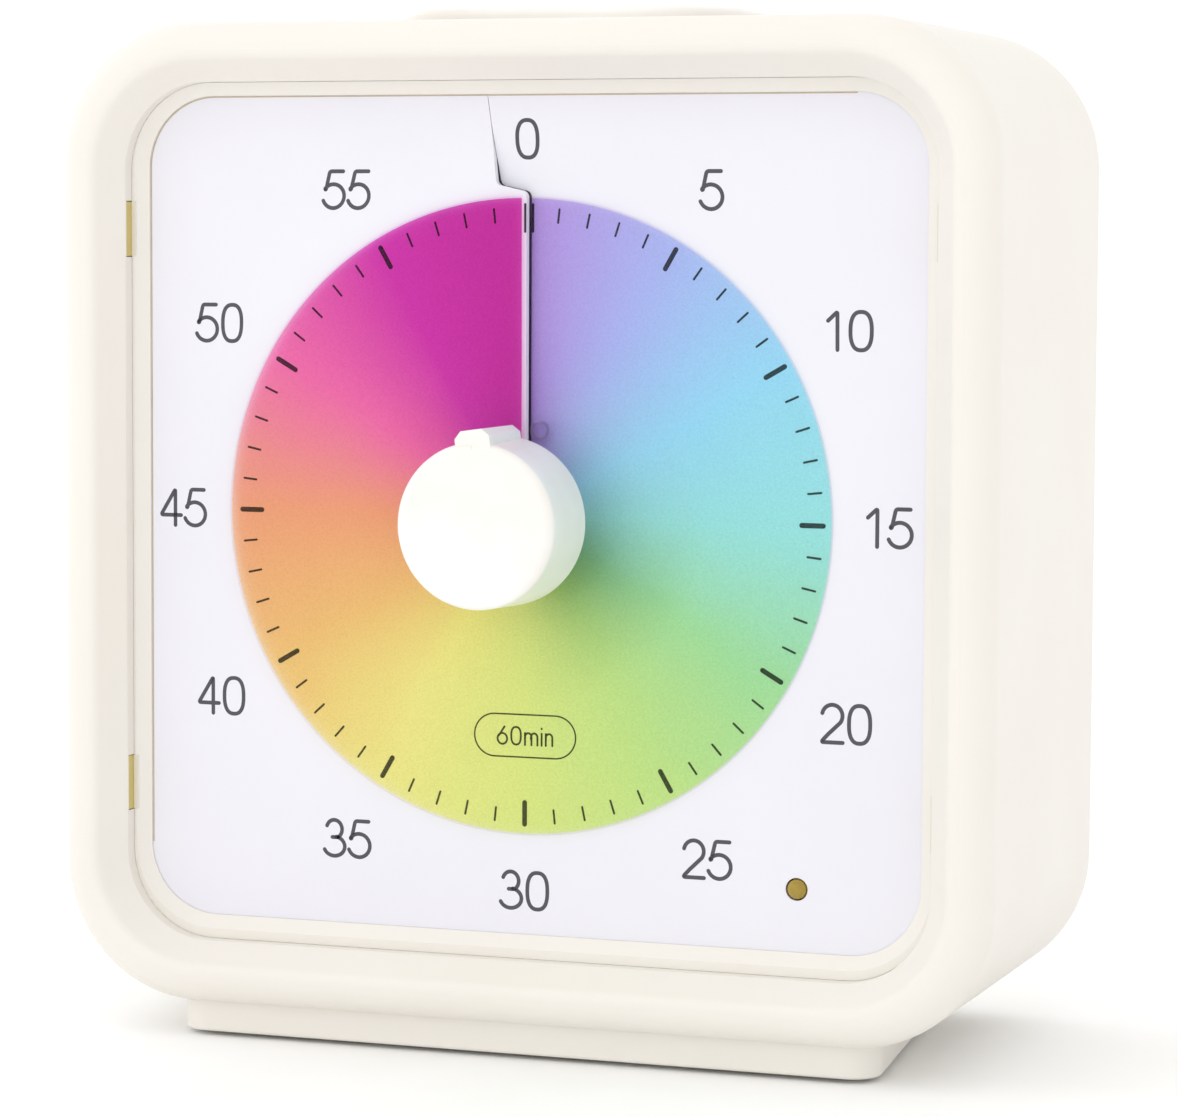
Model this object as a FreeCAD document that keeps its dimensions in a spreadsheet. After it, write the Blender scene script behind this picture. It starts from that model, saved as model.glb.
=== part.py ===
import FreeCAD, Part
import math
import os
import Sketcher

# Desktop sixty-minute visual countdown timer.
# Millimetres.  +X is the viewer's right, +Y runs into the case, +Z is up.
# The origin is under the middle of the whole object, on the surface that it stands on.

DIMS = {
    # case
    "case_width": 165.0, "case_height": 167.4, "case_base": 6.25, "case_corner": 24.0,
    "front_plane": -30.0, "cover_plane": 42.0, "back_plane": 45.0, "wall": 2.6,
    "roll_radius": 5.0, "slope_width": 4.0, "slope_depth": 4.9, "crest_radius": 2.2,
    "rim_width": 143.4, "rim_height": 147.0, "rim_drop": 0.8, "rim_corner": 15.0, "rim_wall": 2.2,
    "rim_wall_end": -17.0, "front_skin": 5.0,
    "hook_slot_length": 9.6, "hook_slot_start": 0.4, "hook_slot_depth": 3.5, "hook_pitch": 47.8,
    "hook_front": -24.5, "hook_back": -21.4, "hook_sunk": 0.12, "hook_grip": 1.6, "hook_play": 0.15,
    # dial
    "dial_level": 91.0, "dial_plane": -20.7, "dial_gauge": 1.3,
    "window_width": 138.1, "window_height": 140.9, "window_corner": 12.2,
    "dial_width": 139.8, "dial_height": 142.6, "dial_corner": 12.9, "dial_bore": 7.6,
    "flap_lift": 1.15, "flap_spread": 130.0, "flap_fade": 12.0, "slit_offset": 0.5, "slit_gap": 0.1,
    "slit_bend": 1.2, "slit_step": 4.3, "slit_rise": 0.7, "slit_lean": 7.6, "slit_top": 71.4,
    "frame_gap": 0.05, "frame_back": -16.7, "frame_front": -22.6,
    "ledge_depth": 1.6, "ledge_width": 2.2,
    # indicator
    "led_across": 47.8, "led_drop": 60.0, "led_radius": 1.75,
    # film
    "film_radius": 53.5, "film_pitch": 2.6, "film_gauge": 0.2,
    "film_start": -4.0, "film_end": 359.8,
    "hub_radius": 6.6, "hub_front": -23.6, "hub_back": -20.0,
    # knob and spindle
    "knob_front": -45.0, "knob_back": -30.2, "knob_front_radius": 13.6, "knob_back_radius": 14.0,
    "knob_round": 1.6, "knob_wall": 2.2, "sleeve_radius": 5.0, "sleeve_end": -26.6,
    "key_turn": 8.0, "key_width": 6.0, "key_offset": 1.6, "key_top": 15.6, "key_round": 1.2,
    "pointer_width": 2.8, "pointer_proud": 0.5, "pointer_reach": 7.5,
    "spindle_radius": 3.0, "spindle_bore": 3.06, "pivot_radius": 1.2, "pivot_bore": 1.26,
    "seat_start": -12.6, "seat_end": -6.0,
    # carrier and movement
    "carrier_front": -16.4, "carrier_gauge": 2.0, "carrier_width": 158.0, "carrier_height": 128.0,
    "post_across": 75.8, "post_rise": 30.0,
    "movement_front": -14.3, "movement_back": 6.0, "movement_width": 70.0, "movement_height": 56.0,
    "movement_wall": 1.6, "movement_drop": 7.0, "movement_post": 31.0, "movement_reach": 24.0,
    "tooth_module": 0.5, "tooth_clearance": 0.16, "pinion_teeth": 8.0,
    "centre_teeth": 64.0, "third_teeth": 60.0, "fourth_teeth": 48.0,
    "wheel_gauge": 1.2, "arbor_radius": 0.6, "arbor_bore": 0.66, "seat_radius": 2.0,
    "third_bearing": 225.0, "fourth_bearing": -20.0, "rotor_bearing": 25.0, "rotor_radius": 3.2,
    "board_width": 90.0, "board_height": 26.0, "board_middle": 12.0, "board_drop": 52.0,
    "board_level": -11.0, "board_gauge": 1.6, "buzzer_radius": 6.0,
    # stand
    "plinth_width": 125.9, "plinth_corner": 5.0, "plinth_taper": 6.6, "plinth_front": -25.0, "plinth_back": 38.0,
    "foot_radius": 5.0, "foot_proud": 0.8, "foot_inset": 14.0,
    # top button
    "button_width": 61.5, "button_depth": 34.0, "button_corner": 13.0, "button_gap": 0.5,
    "button_middle": 7.7, "button_top": 176.3, "shelf_level": 151.9, "shelf_gauge": 2.0,
    "flange_level": 163.4, "crown": 2.0, "striker_level": 160.7,
    "spring_radius": 3.0, "spring_wire": 0.4, "spring_across": 20.0, "spring_turns": 9.0,
    # power
    "cell_radius": 7.15, "cell_length": 49.5, "cell_pitch": 16.0, "tray_level": 37.9,
    "tray_width": 62.0, "tray_height": 34.0, "tray_depth": 18.6, "tray_wall": 1.6,
    "door_gauge": 1.8, "door_gap": 0.3, "door_floor": 43.1, "hinge_pin": 0.5, "contact_gauge": 0.4,
    "switch_across": 38.0, "switch_rise": 30.0,
    # fastenings
    "screw_hole": 1.7, "pilot_hole": 1.2, "screw_head": 2.8,
    "boss_radius": 5.0, "boss_across": 71.5, "boss_rise": 72.2,
}

doc = FreeCAD.newDocument("countdown_timer")
sheet = doc.addObject("Spreadsheet::Sheet", "dims")
for row, (alias, value) in enumerate(DIMS.items(), start=1):
    sheet.set(f"A{row}", alias)
    sheet.set(f"B{row}", str(value))
    sheet.setAlias(f"B{row}", alias)
doc.recompute()
probe = doc.addObject("App::FeaturePython", "probe")
probe.addProperty("App::PropertyFloat", "number")
nodes = []


def dim(name):
    """A driving dimension read from the sheet."""
    return float(sheet.get(name))


def expression(text):
    """A formula over the sheet's names, with each name pointed at the sheet."""
    words = []
    word = ""
    for letter in text + " ":
        if letter.isalnum() or letter == "_":
            word += letter
            continue
        words.append(f"dims.{word}" if word in DIMS else word)
        words.append(letter)
        word = ""
    return "".join(words).strip()


def number(text):
    """The present value of a formula."""
    if isinstance(text, (int, float)):
        return float(text)
    probe.setExpression("number", expression(text))
    probe.recompute()
    return probe.number


def bind(thing, name, text):
    """Bind one property of an object to a formula."""
    thing.setExpression(name, expression(str(text)))


# ---------------------------------------------------------------- sketch helpers

PLANES = {"front": "XZ_Plane", "top": "XY_Plane", "side": "YZ_Plane"}


def new_body(label):
    body = doc.addObject("PartDesign::Body", label)
    body.Label = label
    nodes.append(body)
    return body


def new_sketch(body, plane, across="0", up="0", level="0"):
    """A sketch on one of the body's origin planes.

    front: x right, y up, level is the Y coordinate; top: x right, y back, level is Z;
    side: x back, y up, level is X.
    """
    sketch = body.newObject("Sketcher::SketchObject", body.Label + "_sketch")
    role = PLANES[plane]
    sketch.AttachmentSupport = [(f, "") for f in body.Origin.OriginFeatures if f.Role == role]
    sketch.MapMode = "FlatFace"
    bind(sketch, "AttachmentOffset.Base.x", across)
    bind(sketch, "AttachmentOffset.Base.y", up)
    bind(sketch, "AttachmentOffset.Base.z", f"-({level})" if plane == "front" else level)
    return sketch


def pin(sketch, kind, where, text):
    """Add one dimensional constraint, bound to a formula."""
    index = sketch.addConstraint(Sketcher.Constraint(kind, *where, number(text)))
    bind(sketch, f"Constraints[{index}]", text)


def rounded_rectangle(sketch, width, height, corner, raised="0"):
    """A rectangle with round corners, raised above the sketch's origin."""
    a, b, r, lift = number(width) / 2, number(height) / 2, number(corner), number(raised)
    centres = [(a - r, lift + b - r), (r - a, lift + b - r), (r - a, lift + r - b), (a - r, lift + r - b)]
    arcs = []
    for quarter, (x, y) in enumerate(centres):
        circle = Part.Circle(FreeCAD.Vector(x, y, 0), FreeCAD.Vector(0, 0, 1), r)
        start = quarter * math.pi / 2
        arcs.append(sketch.addGeometry(Part.ArcOfCircle(circle, start, start + math.pi / 2)))
    lines = []
    for quarter in range(4):
        tail = sketch.Geometry[arcs[quarter]].EndPoint
        head = sketch.Geometry[arcs[(quarter + 1) % 4]].StartPoint
        lines.append(sketch.addGeometry(Part.LineSegment(tail, head)))
    for quarter in range(4):
        following = arcs[(quarter + 1) % 4]
        sketch.addConstraint(Sketcher.Constraint("Tangent", arcs[quarter], 2, lines[quarter], 1))
        sketch.addConstraint(Sketcher.Constraint("Tangent", lines[quarter], 2, following, 1))
    for quarter in range(1, 4):
        sketch.addConstraint(Sketcher.Constraint("Equal", arcs[0], arcs[quarter]))
    sketch.addConstraint(Sketcher.Constraint("Horizontal", lines[0]))
    sketch.addConstraint(Sketcher.Constraint("Vertical", lines[1]))
    pin(sketch, "Radius", (arcs[0],), corner)
    pin(sketch, "DistanceY", (-1, 1, lines[0], 1), f"({height}) / 2 + {raised}")
    pin(sketch, "DistanceX", (lines[1], 1, -1, 1), f"({width}) / 2")
    pin(sketch, "DistanceY", (lines[2], 1, -1, 1), f"({height}) / 2 - ({raised})")
    pin(sketch, "DistanceX", (-1, 1, lines[3], 1), f"({width}) / 2")


def rectangle(sketch, width, height, across="0", up="0"):
    """A plain rectangle whose middle is given from the sketch's origin."""
    a, b, x0, y0 = number(width) / 2, number(height) / 2, number(across), number(up)
    corners = [FreeCAD.Vector(x0 + x, y0 + y, 0) for x, y in ((a, b), (-a, b), (-a, -b), (a, -b))]
    lines = [sketch.addGeometry(Part.LineSegment(corners[i], corners[(i + 1) % 4])) for i in range(4)]
    for i in range(4):
        sketch.addConstraint(Sketcher.Constraint("Coincident", lines[i], 2, lines[(i + 1) % 4], 1))
        turn = "Horizontal" if i % 2 == 0 else "Vertical"
        sketch.addConstraint(Sketcher.Constraint(turn, lines[i]))
    pin(sketch, "DistanceX", (-1, 1, lines[0], 1), f"({across}) + ({width}) / 2")
    pin(sketch, "DistanceY", (-1, 1, lines[0], 1), f"({up}) + ({height}) / 2")
    pin(sketch, "DistanceX", (lines[2], 1, -1, 1), f"({width}) / 2 - ({across})")
    pin(sketch, "DistanceY", (lines[2], 1, -1, 1), f"({height}) / 2 - ({up})")


def circle(sketch, radius, across="0", up="0"):
    """A circle at a place given from the sketch's origin."""
    middle = FreeCAD.Vector(number(across), number(up), 0)
    edge = sketch.addGeometry(Part.Circle(middle, FreeCAD.Vector(0, 0, 1), number(radius)))
    pin(sketch, "Radius", (edge,), radius)
    if middle.Length < 1e-9:
        sketch.addConstraint(Sketcher.Constraint("Coincident", edge, 3, -1, 1))
        return
    pin(sketch, "DistanceX", (-1, 1, edge, 3), across)
    pin(sketch, "DistanceY", (-1, 1, edge, 3), up)


def outline(sketch, points):
    """A closed outline of straight lines; every corner is fixed by formulas for x and y."""
    spots = [FreeCAD.Vector(number(x), number(y), 0) for x, y in points]
    count = len(spots)
    lines = [sketch.addGeometry(Part.LineSegment(spots[i], spots[(i + 1) % count])) for i in range(count)]
    for i in range(count):
        sketch.addConstraint(Sketcher.Constraint("Coincident", lines[i], 2, lines[(i + 1) % count], 1))
    for i, (x, y) in enumerate(points):
        pin(sketch, "DistanceX", (-1, 1, lines[i], 1), x)
        pin(sketch, "DistanceY", (-1, 1, lines[i], 1), y)


# ---------------------------------------------------------------- feature helpers

def pad(body, sketch, length, backwards=False):
    """Add material along the sketch's normal, or against it."""
    feature = body.newObject("PartDesign::Pad", body.Label + "_pad")
    feature.Profile = sketch
    feature.Reversed = backwards
    bind(feature, "Length", length)
    doc.recompute()
    return feature


def pocket(body, sketch, length, backwards=False, both_ways=False):
    """Remove material against the sketch's normal, or along it; it must cut something."""
    before = body.Shape.Volume
    feature = body.newObject("PartDesign::Pocket", body.Label + "_pocket")
    feature.Profile = sketch
    feature.Reversed = backwards
    feature.Midplane = both_ways
    bind(feature, "Length", length)
    doc.recompute()
    if not body.Shape.Volume < before - 1e-6:
        raise RuntimeError(f"{feature.Label} cuts nothing")
    return feature


def revolve(body, sketch):
    """Turn the sketch about its own horizontal axis."""
    feature = body.newObject("PartDesign::Revolution", body.Label + "_turned")
    feature.Profile = sketch
    feature.ReferenceAxis = (sketch, ["H_Axis"])
    feature.Angle = 360
    doc.recompute()
    return feature


def round_edges(body, radius, chosen):
    """Fillet the edges of the body's tip that the test picks out."""
    tip = body.Tip
    names = [f"Edge{i + 1}" for i, edge in enumerate(tip.Shape.Edges) if chosen(edge)]
    feature = body.newObject("PartDesign::Fillet", body.Label + "_round")
    feature.Base = (tip, names)
    bind(feature, "Radius", radius)
    doc.recompute()
    return feature


def funnel(body, level, depth, narrowing, width, height, corner, up):
    """Cut a recess whose wall slopes inward evenly as it goes deeper."""
    sketch = new_sketch(body, "front", "0", up, level)
    rounded_rectangle(sketch, f"{width} + 2 * {narrowing}", f"{height} + 2 * {narrowing}",
                      f"{corner} + {narrowing}")
    cut = pocket(body, sketch, depth)
    cut.TaperAngle = -math.degrees(math.atan(number(narrowing) / number(depth)))
    doc.recompute()


def at_depth(depth, reach_limit=math.inf):
    """A test for edges that lie wholly at one Y level and reach out less than a limit in X."""
    def test(edge):
        box = edge.BoundBox
        level = abs(box.YMin - depth) < 0.01 and abs(box.YMax - depth) < 0.01
        return level and max(abs(box.XMin), abs(box.XMax)) < reach_limit
    return test


def plate_body(label, level, thickness, width, height, corner, across="0", up="0"):
    """A body that starts as a rounded plate facing the viewer."""
    body = new_body(label)
    sketch = new_sketch(body, "front", across, up, level)
    rounded_rectangle(sketch, width, height, corner)
    pad(body, sketch, thickness, backwards=True)
    return body


def cut_plate(body, level, depth, width, height, corner, across="0", up="0"):
    sketch = new_sketch(body, "front", across, up, level)
    rounded_rectangle(sketch, width, height, corner)
    pocket(body, sketch, depth)


def holes(body, level, depth, radius, places, across="0", up="0"):
    """Round holes running along +Y from a level."""
    sketch = new_sketch(body, "front", across, up, level)
    for x, z in places:
        circle(sketch, radius, x, z)
    pocket(body, sketch, depth)


def posts(body, level, length, radius, places, across="0", up="0"):
    """Round posts running along +Y from a level."""
    sketch = new_sketch(body, "front", across, up, level)
    for x, z in places:
        circle(sketch, radius, x, z)
    pad(body, sketch, length, backwards=True)


def turned_body(label, profile, across="0", up="dial_level"):
    """A body turned about an axis that runs along +Y; the profile holds (y, radius) corners."""
    body = new_body(label)
    sketch = new_sketch(body, "side", "0", up, across)
    outline(sketch, profile)
    revolve(body, sketch)
    return body


def four(across, rise):
    """The four places mirrored about both axes."""
    return [(f"{x}({across})", f"{z}({rise})") for x in ("", "-") for z in ("", "-")]


def feature_node(label, shape):
    """A sub-part whose shape is worked out by Part's own functions."""
    place = shape.Placement
    feature = doc.addObject("Part::Feature", label)
    feature.Label = label
    feature.Shape = shape
    feature.Placement = place
    nodes.append(feature)
    return feature


# ---------------------------------------------------------------- case, dial frame and covers

CASE_MIDDLE = "case_base + case_height / 2"
CAVITY = ("case_width - 2 * wall", "case_height - 2 * wall", "case_corner - wall")
RIM_LEVEL = "front_plane + slope_depth"
RIM_MIDDLE = "dial_level - rim_drop"
MIDDLE_BELOW_RIM = f"{CASE_MIDDLE} - ({RIM_MIDDLE})"
HINGE_AXIS = ("back_plane - door_gauge / 2", "tray_level - tray_height / 2 - 2 + door_gap + door_gauge / 2")
PLINTH_SCREWS = [(x, y) for x in ("-38", "38") for y in ("-14", "26")]


def case_shell():
    """The moulded tub: rolled bezel, recess for the dial, screw posts and button guide."""
    body = plate_body("case_shell", "front_plane", "cover_plane - front_plane",
                      "case_width", "case_height", "case_corner", up=CASE_MIDDLE)
    round_edges(body, "roll_radius", at_depth(dim("front_plane")))
    funnel(body, "front_plane", "slope_depth", "slope_width", "rim_width", "rim_height", "rim_corner",
           RIM_MIDDLE)
    crest_reach = number("rim_width / 2 + slope_width") + 0.1
    round_edges(body, "crest_radius", at_depth(dim("front_plane"), crest_reach))
    cut_plate(body, "front_plane", "cover_plane - front_plane", "rim_width", "rim_height", "rim_corner",
              up=RIM_MIDDLE)
    cut_plate(body, "rim_wall_end", "cover_plane - rim_wall_end", *CAVITY, up=CASE_MIDDLE)
    ring = new_sketch(body, "front", "0", RIM_MIDDLE, "front_plane + front_skin")
    rounded_rectangle(ring, *CAVITY, raised=MIDDLE_BELOW_RIM)
    rounded_rectangle(ring, "rim_width + 2 * rim_wall", "rim_height + 2 * rim_wall",
                      "rim_corner + rim_wall")
    pocket(body, ring, "rim_wall_end - front_plane - front_skin")
    for side in ("", "-"):
        slot = new_sketch(body, "side", f"{RIM_LEVEL} + hook_slot_start + hook_slot_depth / 2",
                          f"dial_level + {side}(hook_pitch)", "0")
        rectangle(slot, "hook_slot_depth", "hook_slot_length")
        pocket(body, slot, "rim_width + 2 * rim_wall + 1", both_ways=True)
    case_posts(body)
    return body


def case_posts(body):
    """Posts for the back cover, the carrier and the plinth, and the guide for the top button."""
    corners = four("boss_across", "boss_rise")
    start = "front_plane + front_skin - 0.2"
    posts(body, start, f"cover_plane - ({start})", "boss_radius", corners, up=CASE_MIDDLE)
    holes(body, "cover_plane - 16", "16", "pilot_hole", corners, up=CASE_MIDDLE)
    sides = four("post_across", "post_rise")
    posts(body, start, f"carrier_front - ({start})", "3.4", sides, up="dial_level")
    holes(body, "carrier_front - 7", "7", "pilot_hole", sides, up="dial_level")
    floor = new_sketch(body, "top", "0", "0", "case_base + wall - 0.2")
    for x, y in PLINTH_SCREWS:
        circle(floor, "4", x, y)
    pad(body, floor, "7")
    pilots = new_sketch(body, "top", "0", "0", "case_base")
    for x, y in PLINTH_SCREWS:
        circle(pilots, "pilot_hole", x, y)
    pocket(body, pilots, "7", backwards=True)
    inside_top = "case_base + case_height - wall"
    guide = new_sketch(body, "top", "0", "button_middle", f"{inside_top} + 0.2")
    wide, deep = "button_width + 2 * button_gap", "button_depth + 2 * button_gap"
    rounded_rectangle(guide, f"{wide} + 3.6", f"{deep} + 3.6", "button_corner + button_gap + 1.8")
    pad(body, guide, "6.2", backwards=True)
    opening = new_sketch(body, "top", "0", "button_middle", "case_base + case_height")
    rounded_rectangle(opening, wide, deep, "button_corner + button_gap")
    pocket(body, opening, "wall + 7")


def dial_frame():
    """The inner ring: its sloping ledge frames the dial, its four hooks catch in the rim's slots."""
    body = plate_body("dial_frame", "frame_front", "frame_back - frame_front",
                      "rim_width - 2 * frame_gap", "rim_height - 2 * frame_gap",
                      "rim_corner - frame_gap", up=RIM_MIDDLE)
    funnel(body, "frame_front", "ledge_depth", "ledge_width", "window_width", "window_height",
           "window_corner", "dial_level")
    cut_plate(body, "frame_front", "frame_back - frame_front", "window_width", "window_height",
              "window_corner", up="dial_level")
    cut_plate(body, "dial_plane - 0.08", "frame_back - dial_plane + 0.08", "dial_width + 0.4",
              "dial_height + 0.4", "dial_corner + 0.2", up="dial_level")
    edge = "rim_width / 2 - frame_gap"
    tall = "hook_slot_length - 2 * hook_play"
    for side in ("", "-"):
        for hand in ("", "-"):
            up = f"dial_level + {side}(hook_pitch)"
            catch = new_sketch(body, "front", f"{hand}(rim_width / 2 + hook_sunk + hook_grip / 2)", up,
                               "hook_front")
            rectangle(catch, "hook_grip", tall)
            pad(body, catch, "hook_back - hook_front", backwards=True)
            arm = new_sketch(body, "front", f"{hand}({edge})", up, "frame_front")
            rectangle(arm, "hook_grip", tall)
            pad(body, arm, "hook_back - frame_front", backwards=True)


def back_cover():
    """The rear lid: locating lip, screw holes, sound slots, battery tray and switch window."""
    body = plate_body("back_cover", "cover_plane", "back_plane - cover_plane", "case_width",
                      "case_height", "case_corner", up=CASE_MIDDLE)
    round_edges(body, "2.4", at_depth(dim("back_plane")))
    lip = new_sketch(body, "front", "0", CASE_MIDDLE, "cover_plane - 2.4")
    rounded_rectangle(lip, "case_width - 2 * wall - 0.6", "case_height - 2 * wall - 0.6",
                      "case_corner - wall - 0.3")
    rounded_rectangle(lip, "case_width - 2 * wall - 3.6", "case_height - 2 * wall - 3.6",
                      "case_corner - wall - 1.8")
    pad(body, lip, "2.5", backwards=True)
    corners = four("boss_across", "boss_rise")
    clear = new_sketch(body, "front", "0", CASE_MIDDLE, "cover_plane - 2.4")
    for x, z in corners:
        circle(clear, "boss_radius + 0.4", x, z)
    pocket(body, clear, "2.4")
    holes(body, "cover_plane", "back_plane - cover_plane", "screw_hole", corners, up=CASE_MIDDLE)
    holes(body, "back_plane - 1.4", "1.4", "screw_head + 0.3", corners, up=CASE_MIDDLE)
    tray = new_sketch(body, "front", "0", "tray_level", "back_plane - tray_depth")
    rounded_rectangle(tray, "tray_width + 2 * tray_wall", "tray_height + 2 * tray_wall", "3")
    pad(body, tray, "tray_depth - 1", backwards=True)
    cut_plate(body, "back_plane - tray_depth + tray_wall", "tray_depth", "tray_width", "tray_height",
              "1.5", up="tray_level")
    cut_plate(body, "door_floor", "back_plane - door_floor", "tray_width + 4", "tray_height + 4",
              "2.5", up="tray_level")
    catch = new_sketch(body, "front", "0", "tray_level + tray_height / 2 + 3", "back_plane - 3")
    rectangle(catch, "10", "4")
    pocket(body, catch, "3")
    grille = new_sketch(body, "front", "-switch_across", "dial_level + switch_rise", "cover_plane")
    for row in range(-2, 3):
        rectangle(grille, "16", "1.6", "0", f"{4 * row}")
    pocket(body, grille, "back_plane - cover_plane")
    window = new_sketch(body, "front", "switch_across", "dial_level + switch_rise", "cover_plane")
    rectangle(window, "14", "4.4")
    pocket(body, window, "back_plane - cover_plane")
    cut_plate(body, "back_plane - 1.2", "1.2", "20", "10", "2", "switch_across",
              "dial_level + switch_rise")
    rails = new_sketch(body, "front", "switch_across", "dial_level + switch_rise", "cover_plane - 3.6")
    rectangle(rails, "30", "1.6", "0", "5.2")
    rectangle(rails, "30", "1.6", "0", "-5.2")
    pad(body, rails, "3.7", backwards=True)
    for radius, length in (("hinge_pin + 0.1", "tray_width + 7.2"), ("door_gauge * 0.8", "tray_width + 4")):
        relief = new_sketch(body, "side", *HINGE_AXIS)
        circle(relief, radius)
        pocket(body, relief, length, both_ways=True)
    return body


def plinth():
    """The foot under the case, with sockets for the rubber feet and countersunk screws."""
    body = new_body("plinth")
    depth = "plinth_back - plinth_front"
    middle = "(plinth_back + plinth_front) / 2"
    sole = new_sketch(body, "top", "0", "0", "foot_proud")
    wide, narrow = "plinth_width / 2", "(plinth_width / 2 - plinth_taper)"
    outline(sole, [(f"-{wide}", "plinth_front"), (wide, "plinth_front"), (narrow, "plinth_back"),
                   (f"-{narrow}", "plinth_back")])
    pad(body, sole, "case_base - foot_proud")
    round_edges(body, "plinth_corner", lambda edge: edge.BoundBox.ZLength > number("case_base - foot_proud") - 0.1)
    sockets = new_sketch(body, "top", "0", middle, "foot_proud + 1")
    for x, y in four("plinth_width / 2 - foot_inset", f"({depth}) / 2 - 9"):
        circle(sockets, "foot_radius + 0.1", x, y)
    pocket(body, sockets, "1")
    for radius, level, depth_cut in (("screw_hole", "case_base", "case_base"),
                                     ("screw_head + 0.3", "foot_proud + 2.2", "2.2")):
        screws = new_sketch(body, "top", "0", "0", level)
        for x, y in PLINTH_SCREWS:
            circle(screws, radius, x, y)
        pocket(body, screws, depth_cut)
    bottom = dim("foot_proud")

    def lower_rim(edge):
        box = edge.BoundBox
        flat = abs(box.ZMin - bottom) < 0.01 and abs(box.ZMax - bottom) < 0.01
        return flat and not edge.isClosed()

    round_edges(body, "0.6", lower_rim)


def rubber_feet():
    """Four press-in rubber discs."""
    body = new_body("rubber_feet")
    sketch = new_sketch(body, "top", "0", "(plinth_back + plinth_front) / 2", "0")
    for x, y in four("plinth_width / 2 - foot_inset", "(plinth_back - plinth_front) / 2 - 9"):
        circle(sketch, "foot_radius", x, y)
    pad(body, sketch, "foot_proud + 1")
    round_edges(body, "0.3", lambda edge: abs(edge.BoundBox.ZMax) < 0.01)
    return body


def screw_set(label, plane, level, shank, places, across="0", up="0", backwards=False):
    """Identical cross-head screws in one node; the heads' tops lie at the level."""
    body = new_body(label)
    head = "1.4"
    heads = new_sketch(body, plane, across, up, level)
    shanks = new_sketch(body, plane, across, up, level)
    for x, y in places:
        circle(heads, "screw_head", x, y)
        circle(shanks, "pilot_hole - 0.02", x, y)
    pad(body, heads, head, backwards=backwards)
    pad(body, shanks, f"{head} + {shank}", backwards=backwards)
    for wide, tall in (("3", "0.6"), ("0.6", "3")):
        cross = new_sketch(body, plane, across, up, level)
        for x, y in places:
            rectangle(cross, wide, tall, x, y)
        pocket(body, cross, "0.8", backwards=not backwards)
    return body


# ---------------------------------------------------------------- dial plate and film

def ease(fraction):
    """One at the start, nothing at the end, level at both."""
    return 0.5 * (1 + math.cos(math.pi * min(1.0, max(0.0, fraction))))


def flap_height(x, z):
    """How far the dial stands off its plane beside the slit; x and z are from the dial's middle."""
    radius = math.hypot(x, z)
    turn = math.degrees(math.atan2(abs(x), z))
    outer = ease((radius - dim("film_radius") - 1) / dim("flap_fade"))
    inner = min(1.0, radius / (dim("dial_bore") - 1))
    return dim("flap_lift") * ease(turn / dim("flap_spread")) * outer * inner


def sprung_sheet(first, last, side):
    """A sheet of the dial's thickness from one X to another, bowed beside the slit."""
    columns, rows = 26, 60
    tall = dim("dial_height") / 2 + 1
    level = dim("dial_plane")
    grid = []
    for i in range(columns):
        x = first + (last - first) * i / (columns - 1)
        column = []
        for j in range(rows):
            z = -tall + 2 * tall * j / (rows - 1)
            y = level + side * flap_height(x, z)
            column.append(FreeCAD.Vector(x, y, z + dim("dial_level")))
        grid.append(column)
    surface = Part.BSplineSurface()
    surface.interpolate(grid)
    return surface.toShape().extrude(FreeCAD.Vector(0, dim("dial_gauge"), 0))


def slit_side(shift, keep_right):
    """A tall block bounded by the slit: up from the hub, a step to the left, then leaning left.

    Below the hub the two sides meet, so that the dial stays one sheet.
    """
    far = dim("dial_width")
    edge = dim("slit_offset") + shift
    knee = dim("film_radius") - 0.2
    bend = dim("slit_bend")
    diagonal = bend * math.sqrt(0.5)
    step, rise = edge - dim("slit_step"), knee + bend + dim("slit_rise")

    def spot(x, z):
        return FreeCAD.Vector(x, -60, z + dim("dial_level"))

    first_arc = Part.Arc(spot(edge, knee), spot(edge - bend + diagonal, knee + diagonal),
                         spot(edge - bend, knee + bend))
    second_arc = Part.Arc(spot(step, rise), spot(step - diagonal, rise + bend - diagonal),
                          spot(step - bend, rise + bend))
    beyond = far if keep_right else -far
    corners = [spot(edge - dim("slit_lean"), dim("slit_top")), spot(edge - dim("slit_lean"), far),
               spot(beyond, far), spot(beyond, -far), spot(dim("slit_offset"), -far),
               spot(dim("slit_offset"), 0), spot(edge, 1), spot(edge, knee)]
    edges = [first_arc.toShape(), Part.makeLine(spot(edge - bend, knee + bend), spot(step, rise)),
             second_arc.toShape(), Part.makeLine(spot(step - bend, rise + bend), corners[0])]
    edges += [Part.makeLine(first, second) for first, second in zip(corners, corners[1:])]
    return Part.Face(Part.Wire(edges)).extrude(FreeCAD.Vector(0, 80, 0))


def rounded_block(width, height, corner):
    """A block the shape of the dial, deep enough to trim the bowed sheets."""
    block = Part.makeBox(width, 20, height,
                         FreeCAD.Vector(-width / 2, dim("dial_plane") - 10, dim("dial_level") - height / 2))
    upright = [edge for edge in block.Edges
               if abs(edge.BoundBox.YLength - 20) < 0.01 and edge.BoundBox.XLength < 0.01]
    return block.makeFillet(corner, upright)


def drill(radius, x=0.0, z=0.0):
    """A round cutter through the dial at a place from its middle."""
    start = FreeCAD.Vector(x, dim("dial_plane") - 10, z + dim("dial_level"))
    return Part.makeCylinder(radius, 20, start, FreeCAD.Vector(0, 1, 0))


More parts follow.
